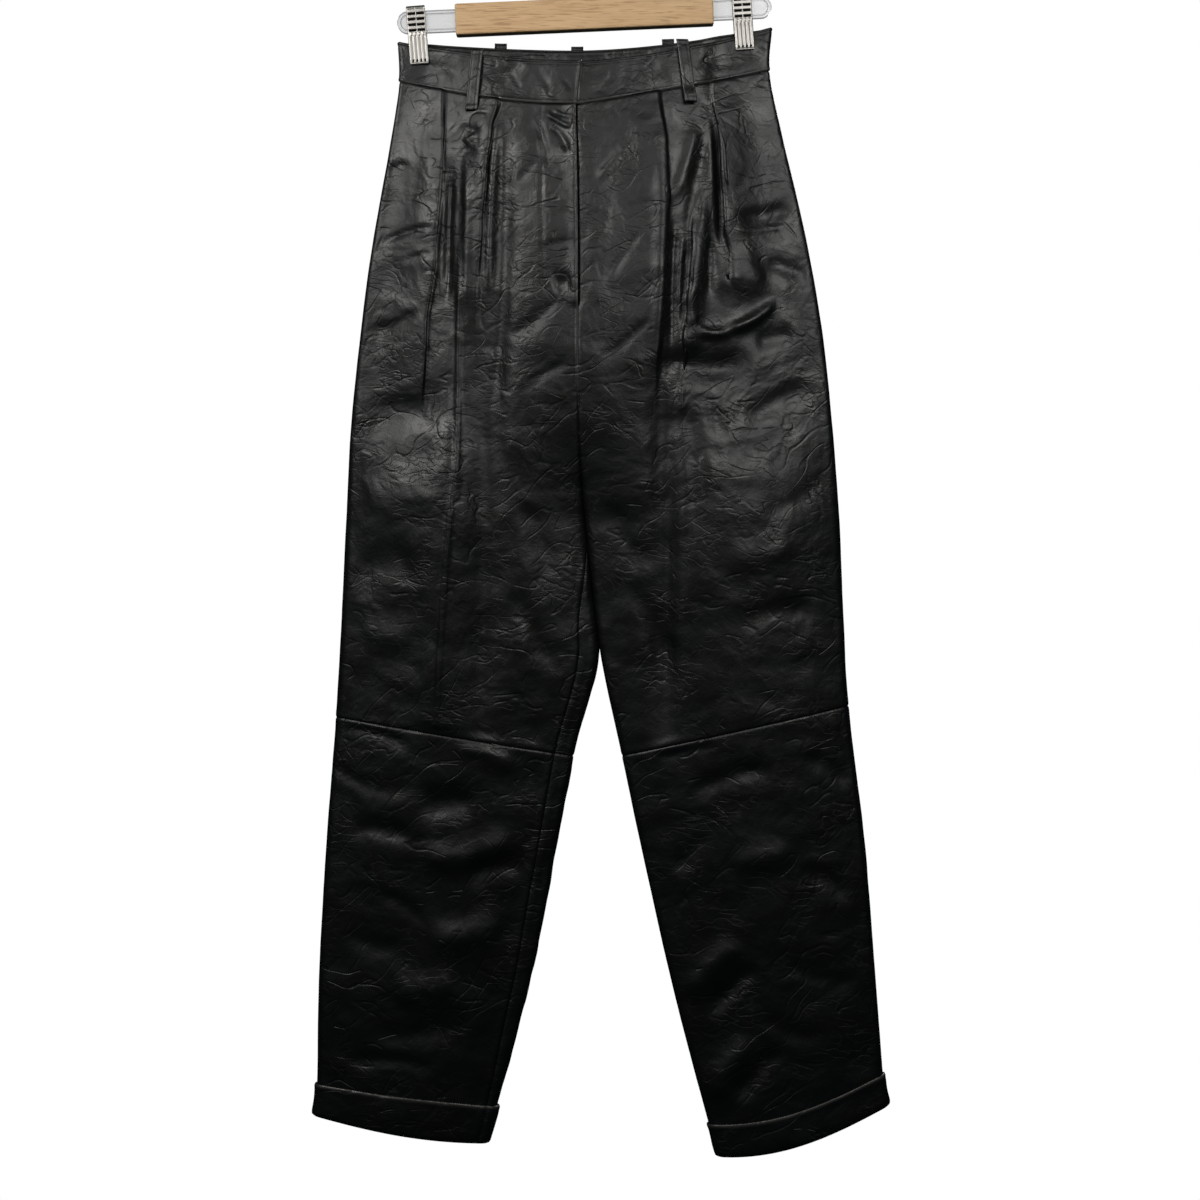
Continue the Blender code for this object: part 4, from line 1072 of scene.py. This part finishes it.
def from_edges(start, end, count):
    """Places from start to end, close together near both, where the edges turn in."""
    inner = start + EDGE_STEPS[-1]
    inner = inner + (end - start - 2 * EDGE_STEPS[-1]) * np.linspace(0.0, 1.0, count)
    return np.concatenate([start + EDGE_STEPS[:-1], inner, end - EDGE_STEPS[-2::-1]], axis=1)


def turned_edge(run):
    """The turned-in edge of doubled leather: a full fold, rounded off at the very end."""
    return 0.4 * bump_at(run - 1.7, 1.0) - bump_at(run, 0.5)


def lay_band(name, points, creases, seed, lap=0.0):
    """Shapes a band's points: its crinkle, its creases, its turned edges and their sewing."""
    normal = outward(points)
    across = np.minimum(*run_along(points, 1))
    from_top, from_bottom = run_along(points, 0)
    nearest = np.minimum(across, np.minimum(from_top, from_bottom))
    loose = 0.25 + 0.75 * smooth(nearest / 7.0)
    lift = rippled(points, seed, BAND_CRINKLE) - creased(points, creases)
    lift = lift * loose + BAND_PROUD + lap
    lift = lift + turned_edge(across) + turned_edge(from_top) + turned_edge(from_bottom)
    lift = lift - 0.35 * bump_at(from_top - BAND_STITCHES, 0.5)
    # Lighter lines painted along the lower edge, the top and the ends: painted highlight, with
    # some rubbed wear.
    wear_and_highlight = bump_at(from_bottom, 1.5) + 0.15 * bump_at(from_top, 1.0) + 0.7 * bump_at(across, 1.2)
    points = points + normal * lift[..., None]
    return cloth_mesh(name, points, leather, BAND_WALL, np.minimum(wear_and_highlight, 1.0))


one = np.ones((1, 1))
band_levels = from_edges(0 * one, BAND_HEIGHT * one, 14).T / BAND_HEIGHT * BAND_ENDS
for half, lap, reach, seed in ((LEFT, 1.7, BAND_LAP, 81), (RIGHT, -1.5, 0.0, 91)):
    start, end = half.side_seam(band_levels) + SEAM_GAP / 2, half.length(band_levels)
    places = from_edges(start, end, 90)
    sideways = reach * smooth(1 - (end - places) / 12.0)
    points = half.point(band_levels, places, 0.0, sideways)
    name = f"waistband_front_{half.name}"
    near_centre = smooth(1 - (end - places) / 40.0)
    piece = lay_band(f"{name}_leather", points, BAND_CREASES["front"], seed, lap * near_centre)
    finish_cloth(piece, name)

halves = []
for half in (LEFT, RIGHT):
    start = half.length(band_levels) + JUST_BEHIND
    end = 2 * half.length(band_levels) - SEAM_GAP / 2
    halves.append(half.point(band_levels, end - from_edges(0 * start, end - start, 86)))
points = np.concatenate([halves[0][:, :-8], halves[1][:, -9::-1]], axis=1)
piece = lay_band("waistband_back_leather", points, BAND_CREASES["back"], 95)
finish_cloth(piece, "waistband_back")

# ------------
# The belt loops: narrow strips of leather folded to three layers, edge stitched on both
# sides, and tacked down above the band and below its lower seam.

LOOP_WIDTH = 11.0
LOOP_WALL = 1.6
LOOP_SEAT = 0.5  # the gap between a loop's tacked ends and the band
LOOP_ARCH = 2.2  # how far its middle stands off
LOOP_STITCHES = 2.1  # how far in from its edges the sewing runs
LOOP_TACKS = 4.0  # how far in from its ends it is tacked down
LOOP_ROWS = 44
LOOP_HALF = [1.5, 2.6, 3.4, 4.1, 4.7, 5.2, 5.5]
LOOP_ACROSS = np.array([*(-x for x in reversed(LOOP_HALF)), 0.0, *LOOP_HALF])

# Clear is how far the lower end also stands off, where a pleat lies under it.
BeltLoop = namedtuple("BeltLoop", "name half behind x_top z_top x_bottom z_bottom clear")
BELT_LOOPS = [
    BeltLoop("belt_loop_front_left", LEFT, False, -97, -139, -102, -195, 0.8),
    BeltLoop("belt_loop_front_right", RIGHT, False, 86, -130, 93, -188, 3.4),
    BeltLoop("belt_loop_back_left", LEFT, True, -77, -128, -79, -184, 0.0),
    BeltLoop("belt_loop_back_centre", LEFT, True, -8, -130, -9, -186, 0.0),
    BeltLoop("belt_loop_back_right", RIGHT, True, 74, -124, 76, -180, 0.0),
]


def plain_skin(half, behind, x, z):
    """The plain surface's points at given x and z, and its outward directions."""
    low, high = np.zeros_like(x), np.full_like(x, LEVEL["hip"])
    for _ in range(26):
        level = (low + high) / 2
        distance = np.abs(x - half.value("x_side", level))
        above = half.on_face(behind, level, distance)[..., 2] > z
        low, high = np.where(above, level, low), np.where(above, high, level)
    found = half.on_face(behind, level, distance)
    ahead, back = (half.on_face(behind, level, distance + step) for step in (0.5, -0.5))
    slope = (ahead[..., 1] - back[..., 1]) * half.inward
    normal = np.stack([-slope, np.ones_like(slope), np.zeros_like(slope)], -1)
    normal /= np.linalg.norm(normal, axis=-1, keepdims=True) * (1 if behind else -1)
    return np.stack([x, found[..., 1], z], -1), normal


for row in BELT_LOOPS:
    part = np.linspace(0.0, 1.0, LOOP_ROWS + 1)[:, None]
    x = row.x_top + (row.x_bottom - row.x_top) * part + LOOP_ACROSS
    z = row.z_top + (row.z_bottom - row.z_top) * part + 0 * LOOP_ACROSS
    points, normal = plain_skin(row.half, row.behind, x, z)
    arch = LOOP_ARCH * np.maximum(np.sin(math.pi * part), 0.0) ** 0.7
    lift = BAND_PROUD + LOOP_SEAT + LOOP_WALL + arch + row.clear * smooth((part - 0.7) / 0.2)
    side = (LOOP_WIDTH / 2 - np.abs(LOOP_ACROSS))[None, :]
    lift = lift - 0.9 * bump_at(side, 0.45) - 0.35 * bump_at(side - LOOP_STITCHES, 0.45)
    from_end = np.minimum(part, 1 - part) * abs(row.z_bottom - row.z_top)
    lift = lift - 0.9 * bump_at(from_end, 0.6) - 0.5 * bump_at(from_end - LOOP_TACKS, 0.8)
    lift = lift + 0.25 * noise_field(points, 9.0, 97)
    points = points + normal * lift[..., None]
    # Lighter lines painted along both long edges: painted highlight, with some rubbed wear.
    wear_and_highlight = 0.6 * bump_at(side - 0.8, 0.6)
    piece = cloth_mesh(f"{row.name}_leather", points, leather, LOOP_WALL, wear_and_highlight)
    finish_cloth(piece, row.name)

# ------------
# The fly's sewing: a J of black thread that holds the facing behind the lap, and two bar
# tacks of close zigzag where it is under strain.

STITCH_PITCH = 3.4
STITCH_LONG = 2.5
TACK_PITCH, TACK_HALF = 0.55, 0.9  # a tack's zigzag, and half its width
THREAD = 0.32  # radius

thread = Finish("black_thread", Roughness=0.55, Specular_IOR_Level=0.35)
strands = thread.noise(thread.place(), 900.0, 1.0)
thread.use("Base Color", thread.blend(strands, (0.006, 0.006, 0.007), (0.035, 0.034, 0.033)))

JPoint = namedtuple("JPoint", "x z")
J_LINE = [
    JPoint(-40.5, -194),
    JPoint(-40.0, -240),
    JPoint(-39.3, -290),
    JPoint(-38.7, -335),
    JPoint(-36.8, -350),
    JPoint(-31.0, -362),
    JPoint(-21.0, -369),
    JPoint(-9.5, -372.5),
]
Tack = namedtuple("Tack", "x z reach lean")
TACKS = [Tack(-12.5, -206, 3.0, 90.0), Tack(-17.5, -366, 4.5, -30.0)]

form = bmesh.new()
form.from_mesh(bpy.data.objects["front_left_leather"].data)
front_tree = BVHTree.FromBMesh(form)
form.free()


def on_front(x, z):
    """The spot of the left front's leather at an x and z, and the way out of it there."""
    spot, normal, _, _ = front_tree.ray_cast(Vector((x * MM, -0.2, z * MM)), Vector((0, 1, 0)))
    return spot, normal if normal.y < 0 else -normal


def add_stitch(form, x1, z1, x2, z2):
    """One stitch: a short bead of thread, sunk a little at both ends."""
    (start, normal_1), (end, normal_2) = on_front(x1, z1), on_front(x2, z2)
    along = end - start
    normal = (normal_1 + normal_2).normalized()
    turn = Matrix((along.normalized(), along.cross(normal).normalized(), normal)).transposed()
    size = Matrix.Diagonal((along.length / 2, THREAD * MM, THREAD * 1.1 * MM, 1))
    place = Matrix.Translation((start + end) / 2 + normal * THREAD * 0.4 * MM) @ turn.to_4x4()
    bmesh.ops.create_uvsphere(form, u_segments=6, v_segments=5, radius=1, matrix=place @ size)


form = bmesh.new()
steps = np.linspace(0, len(J_LINE) - 1, 400)
line = np.stack([between(values, steps) for values in zip(*J_LINE)], 1)
run = np.concatenate([[0], np.cumsum(np.hypot(*np.diff(line, axis=0).T))])
for start in np.arange(0.5, run[-1] - STITCH_LONG, STITCH_PITCH):
    ends = (start, start + STITCH_LONG)
    (x1, x2), (z1, z2) = (np.interp(ends, run, column) for column in line.T)
    add_stitch(form, x1, z1, x2, z2)
for tack in TACKS:
    lean = math.radians(tack.lean)
    along = np.array([math.cos(lean), math.sin(lean)])
    aside = np.array([-along[1], along[0]]) * TACK_HALF
    for step in np.arange(-tack.reach, tack.reach, TACK_PITCH):
        middle = np.array([tack.x, tack.z]) + along * step
        add_stitch(form, *(middle - aside), *(middle + aside + along * 0.25))
stitches = add_piece("fly_stitches", form, thread.material)
stitches.data.shade_smooth()
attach(stitches, "root")

# ------------
# The hanger's wood: a planed beech bar with eased edges, under a thin satin lacquer. It has a
# slot along it for the clear bar, and a hole in its top that the hook stands in.

HANGER_TILT = 2.5  # degrees, right end up
BAR_DROP = 105.5  # the bars' centre line, below the point where the hook hangs
BAR_SHIFT = -6.1  # the bars' middle, beside that point
TILTED = Matrix.Rotation(math.radians(-HANGER_TILT), 4, "Y")
HANGER = TILTED @ Matrix.Translation(Vector((BAR_SHIFT, 0, -BAR_DROP)) * MM)

beech = Finish("beech", Specular_IOR_Level=0.35)
spot = beech.node("ShaderNodeTexCoord", {}, {}, "Object")
turned = {"Vector": spot, "Rotation": (0, math.radians(HANGER_TILT), 0), "Scale": (0.05, 1, 1)}
along_bar = beech.node("ShaderNodeMapping", {}, turned)
rings = beech.noise(along_bar, 260.0, 3.0, 0.6)
pores = beech.step(beech.noise(along_bar, 1100.0, 2.0), 0.54, 0.66)
tone = beech.blend(rings, (0.50, 0.30, 0.14), (0.80, 0.55, 0.31))
beech.use("Base Color", beech.blend(pores * 0.55, tone, (0.45, 0.36, 0.28), "MULTIPLY"))
beech.use("Roughness", 0.42 + rings * 0.12)
beech.use("Normal", beech.bump(1 - pores * 0.5 + rings * 0.3, 0.00008))

wood = bpy.data.objects["hanger_wood"]
wood.data.materials.clear()
wood.data.materials.append(beech.material)

# ------------
# The clear bar: moulded acrylic with round ends and a raised border on both broad faces. It
# runs through the slot in the wood and carries the clips.

BAR_SIZE = Vector((337.0, 5.0, 20.0))
BAR_ROUND = 9.9
BORDER = 2.5
BORDER_PROUD = 0.9

clear = Finish("clear_acrylic", Base_Color=(0.55, 0.57, 0.57, 1), Alpha=0.34, IOR=1.49)
haze = clear.noise(clear.place((0.3, 1.0, 4.0)), 60.0, 2.0)
clear.use("Roughness", 0.06 + haze * 0.12)
# The rim's faces get a darker, less clear copy of the acrylic: painted shade for how the rim
# looks edge-on.
clear_rim_painted_shade = Finish("clear_acrylic_edge", Base_Color=(0.16, 0.18, 0.18, 1), Alpha=0.72, IOR=1.49)
clear_rim_painted_shade.use("Roughness", 0.08 + clear_rim_painted_shade.noise(clear_rim_painted_shade.place(), 90.0) * 0.1)

form = bmesh.new()
bmesh.ops.create_cube(form, size=1.0)
bmesh.ops.scale(form, vec=BAR_SIZE * MM, verts=form.verts[:])
corners = [edge for edge in form.edges if abs(edge.verts[0].co.y - edge.verts[1].co.y) > 0.001]
evenly = {"profile": 0.5, "affect": "EDGES", "material": -1}
bmesh.ops.bevel(form, geom=corners, offset=BAR_ROUND * MM, segments=12, **evenly)
broad = [face for face in form.faces if abs(face.normal.y) > 0.9]
rims = [edge for face in broad for edge in face.edges]
bmesh.ops.bevel(form, geom=rims, offset=0.5 * MM, segments=2, **evenly)
broad = [face for face in form.faces if abs(face.normal.y) > 0.99]
bmesh.ops.inset_individual(form, faces=broad, thickness=BORDER * MM)
bmesh.ops.inset_individual(form, faces=broad, thickness=0.5 * MM, depth=-BORDER_PROUD * MM)
form.normal_update()
# Faces that don't face front or back take the painted-shade rim material.
for face in form.faces:
    face.material_index = 0 if abs(face.normal.y) > 0.9 else 1
bmesh.ops.transform(form, matrix=HANGER, verts=form.verts[:])
bar = add_piece("clear_bar", form, clear.material, clear_rim_painted_shade.material)
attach(bar, "root")
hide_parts("hanger_bar")

# ------------
# The clips: springy steel strips bent over the bar and nickel plated. Rows of slots are
# punched over the bar, and the jaws are stiffened with four pressed channels. Slots,
# channels and dimples are painted near black: painted shade in the hollows.

# Heights are from the bars' centre line.
CLIP_WIDTH = 17.0
CLIP_WALL = 1.4
CLIP_TOP = 15.0
CLIP_REACH = 39.0  # down to the jaws' lips
JAW_OUT = 5.7  # outside of a jaw, from the middle plane
PLATE_OUT = 5.0  # outside of the plate over the bar
PLATE_END = -10.0
SHOULDER = 10.8  # where the plates turn over the bar
CHANNELS = (-5.4, -1.8, 1.8, 5.4)  # their middles, across the clip
CHANNEL_END, DOT_HEIGHT, LIP_FOLD = -35.6, -11.3, -38.0
SLOT_PITCH = 5.0
SLOT_END = 7.5  # half the way across a pair of slots

nickel = Finish("satin_nickel", Metallic=1.0)
brushed = nickel.noise(nickel.place((9.0, 3.0, 0.6)), 160.0, 3.0)
spots = nickel.noise(nickel.place(), 120.0, 2.0)
nickel.use("Roughness", 0.34 + brushed * 0.16 + spots * 0.08)
plate = nickel.blend(spots, (0.40, 0.385, 0.36), (0.56, 0.54, 0.51))
# Slots, channels and dimples are painted near black by the marks: painted shade in the hollows.
nickel.use("Base Color", nickel.blend(nickel.marks(), plate, (0.004, 0.004, 0.004)))
nickel.use("Normal", nickel.bump(brushed, 0.00006))


def clip_sheet():
    """The strip's outer surface as rows of points, from the front jaw's lip over the top to
    the back jaw's."""
    z = np.concatenate([
        -CLIP_REACH + np.array([0.0, 0.3, 0.7, 1.2, 1.8]),
        np.linspace(-36.6, -17.4, 34),
        np.linspace(-16.8, PLATE_END - 0.4, 10),
        np.linspace(PLATE_END, SHOULDER, 76),
    ])
    out = np.interp(z, [-17.5, PLATE_END - 1.0], [JAW_OUT, PLATE_OUT])
    turn = np.linspace(0, math.pi / 2, 13)[1:]
    z = np.concatenate([z, SHOULDER + (CLIP_TOP - SHOULDER) * np.sin(turn)])
    out = np.concatenate([out, PLATE_OUT * np.cos(turn)])
    z, out = np.concatenate([z, z[-2::-1]]), np.concatenate([out, -out[-2::-1]])
    return z[:, None], out[:, None]


def round_spot(aside, up, width, height):
    return np.exp(-((aside / width) ** 2) - (up / height) ** 2)


z, out = clip_sheet()
x = np.linspace(-1, 1, 61)[None, :]
x = x * CLIP_WIDTH / 2 * (1 - 0.12 * np.clip((-36.8 - z) / 2.2, 0, 1) ** 3)
phase = ((SHOULDER - z) / SLOT_PITCH) % 1.0
slot = smooth((phase - 0.50) / 0.10) * smooth((0.98 - phase) / 0.10)
slot = slot * smooth((np.abs(x) - 0.35) / 0.4) * smooth((SLOT_END - np.abs(x)) / 0.4)
slot = slot * smooth((z - PLATE_END + 0.5) / 0.6) * smooth((SHOULDER + 1.0 - z) / 0.6)
channel = sum(bump_at(x - middle, 0.75) for middle in CHANNELS)
on_jaw = smooth((-12.6 - z) / 1.2) * smooth((z + 36.6) / 0.8)
dimple = sum(round_spot(x - middle, z - CHANNEL_END, 0.7, 0.8) for middle in CHANNELS)
dot = sum(round_spot(x - middle, z - DOT_HEIGHT, 1.1, 1.1) for middle in CHANNELS)
lip = 0.5 * bump_at(z - LIP_FOLD, 0.9) - 0.5 * bump_at(z + CLIP_REACH, 0.4)
side_edge = -0.4 * bump_at(CLIP_WIDTH / 2 - np.abs(x), 0.45)
press = lip + side_edge + 0.6 * dot - 1.6 * slot - 0.6 * channel * on_jaw - 1.0 * dimple
over_top = np.clip((z - SHOULDER) / (CLIP_TOP - SHOULDER), 0, 1)
# How much painted shade each hollow gets: slots, dimples and the jaws' channels.
painted_hollow_shade = np.clip(slot + dimple * 1.3 + channel * on_jaw * 0.45, 0, 1) * (1 - over_top)
y = -(out + press * np.sign(out) * (1 - over_top))
z = z + side_edge * over_top + 0 * x

Clip = namedtuple("Clip", "name x lean")
for row in (Clip("clip_left", -151, 2.0), Clip("clip_right", 142, 1.4)):
    points = np.stack(np.broadcast_arrays(x, y, z), -1)
    piece = cloth_mesh(f"{row.name}_strip", points, nickel.material, CLIP_WALL, painted_hollow_shade)
    leaning = Matrix.Rotation(math.radians(-row.lean), 4, "Y")
    piece.data.transform(HANGER @ Matrix.Translation((row.x * MM, 0, 0)) @ leaning)
    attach(piece, "root")
    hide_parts(row.name)

# ------------
# The hook: one bright steel wire. It stands in the hole in the wood's top, rises straight,
# then bends in an easy S and round, to hang on a rail.

HOOK_WIRE = 2.0  # radius
HOOK_BEND = 19.0  # radius of the bend, on the wire's centre line
HOOK_START, HOOK_END = math.radians(-50.0), math.radians(205.0)  # round it, from its right
SHANK_FOOT, SHANK_OUT = 10.6, 25.0  # heights in the hole and above the wood
SHANK_TOP = 66.0  # below the hanging point, where the shank starts to bend
SHANK_EASE = 16.0  # how gently it does

bend_middle = Vector((-BAR_SHIFT, 0, BAR_DROP - HOOK_BEND + HOOK_WIRE))
bend = [
    bend_middle + HOOK_BEND * Vector((math.cos(angle), 0, math.sin(angle)))
    for angle in np.linspace(HOOK_START, HOOK_END, 61)
]
heading = Vector((-math.sin(HOOK_START), 0, math.cos(HOOK_START)))
shank_top = Vector((0, 0, BAR_DROP - SHANK_TOP))
leave, arrive = shank_top + Vector((0, 0, SHANK_EASE)), bend[0] - heading * SHANK_EASE
route = [Vector((0, 0, SHANK_FOOT)), Vector((0, 0, SHANK_OUT))]
for part in np.linspace(0, 1, 25)[:-1]:
    rest = 1 - part
    eased_in = shank_top * rest**3 + leave * 3 * rest**2 * part
    route.append(eased_in + arrive * 3 * rest * part**2 + bend[0] * part**3)
route += bend

wire = bpy.data.curves.new("hook_wire", "CURVE")
wire.dimensions = "3D"
wire.bevel_depth = HOOK_WIRE * MM
wire.bevel_resolution = 6
wire.use_fill_caps = True
spline = wire.splines.new("POLY")
spline.points.add(len(route) - 1)
for target, point in zip(spline.points, route):
    target.co = (*(HANGER @ (point * MM)), 1)
hook_curve = bpy.data.objects.new("hook_curve", wire)
bpy.context.scene.collection.objects.link(hook_curve)
bpy.context.view_layer.update()
drawn = hook_curve.evaluated_get(bpy.context.evaluated_depsgraph_get())
hook_mesh = bpy.data.meshes.new_from_object(drawn)
bpy.data.objects.remove(hook_curve)
hook_mesh.materials.clear()
hook_mesh.materials.append(nickel.material)
hook_mesh.shade_smooth()
hook = bpy.data.objects.new("hook_wire", hook_mesh)
bpy.context.scene.collection.objects.link(hook)
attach(hook, "root")
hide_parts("hook")

# ------------
# Stage: a pale floor well below the hems, a white backdrop that only the camera sees, soft
# studio lights in front and behind, and the camera in front of the middle of the legs.

scene = bpy.context.scene
scene.view_settings.view_transform = "Standard"

world = bpy.data.worlds.new("studio")
world.use_nodes = True
sky = world.node_tree
backdrop = sky.nodes["Background"]
backdrop.inputs["Color"].default_value = (1.0, 1.0, 1.0, 1)
room = sky.nodes.new("ShaderNodeBackground")
room.inputs["Color"].default_value = (0.5, 0.85, 1.0, 1)
room.inputs["Strength"].default_value = 0.016
seen = sky.nodes.new("ShaderNodeLightPath")
either = sky.nodes.new("ShaderNodeMixShader")
sky.links.new(seen.outputs["Is Camera Ray"], either.inputs["Fac"])
sky.links.new(room.outputs["Background"], either.inputs[1])
sky.links.new(backdrop.outputs["Background"], either.inputs[2])
sky.links.new(either.outputs["Shader"], sky.nodes["World Output"].inputs["Surface"])
scene.world = world

form = bmesh.new()
bmesh.ops.create_circle(form, cap_ends=True, segments=96, radius=2.2)
bmesh.ops.translate(form, vec=(0, 0, -1.9), verts=form.verts[:])
glow = {"Emission_Color": (0.95, 0.95, 0.94, 1), "Emission_Strength": 0.8}
pale_floor = Finish("pale_floor", Base_Color=(0.8, 0.8, 0.79, 1), Roughness=0.7, **glow)
floor = add_piece("floor", form, pale_floor.material)
floor.visible_diffuse = False  # it throws no light back on the leather
floor.visible_glossy = False

camera_data = bpy.data.cameras.new("camera")
camera_data.lens = 70
camera = bpy.data.objects.new("camera", camera_data)
camera.location = (0.0126, -2.1, -0.632)
camera.rotation_euler = (math.pi / 2, 0, 0)
scene.collection.objects.link(camera)
scene.camera = camera


def soft_light(name, place, aim, size, power, colour):
    """A light panel at a place, turned to its aim. The camera doesn't see it."""
    data = bpy.data.lights.new(name, "AREA")
    data.shape = "RECTANGLE"
    data.size, data.size_y = size
    data.energy = power
    data.color = colour
    light = bpy.data.objects.new(name, data)
    light.location = place
    light.rotation_mode = "QUATERNION"
    light.rotation_quaternion = (Vector(aim) - Vector(place)).to_track_quat("-Z", "Y")
    light.visible_camera = False
    scene.collection.objects.link(light)


soft_light("key", (-0.68, -0.86, 0.2), (-0.04, 0, -0.28), (0.5, 0.5), 7.8, (1.0, 0.985, 0.96))
soft_light("fill", (0.44, -0.95, 0.04), (0.12, 0, -0.32), (0.5, 0.4), 4.6, (1.0, 0.99, 0.97))
soft_light("side", (-1.4, -1.1, -0.2), (0, 0, -0.8), (0.4, 1.2), 0.3, (0.8, 0.9, 1.0))
soft_light("back", (0.6, 1.7, 0.5), (0, 0, -0.5), (1.0, 1.0), 24, (1.0, 1.0, 1.0))
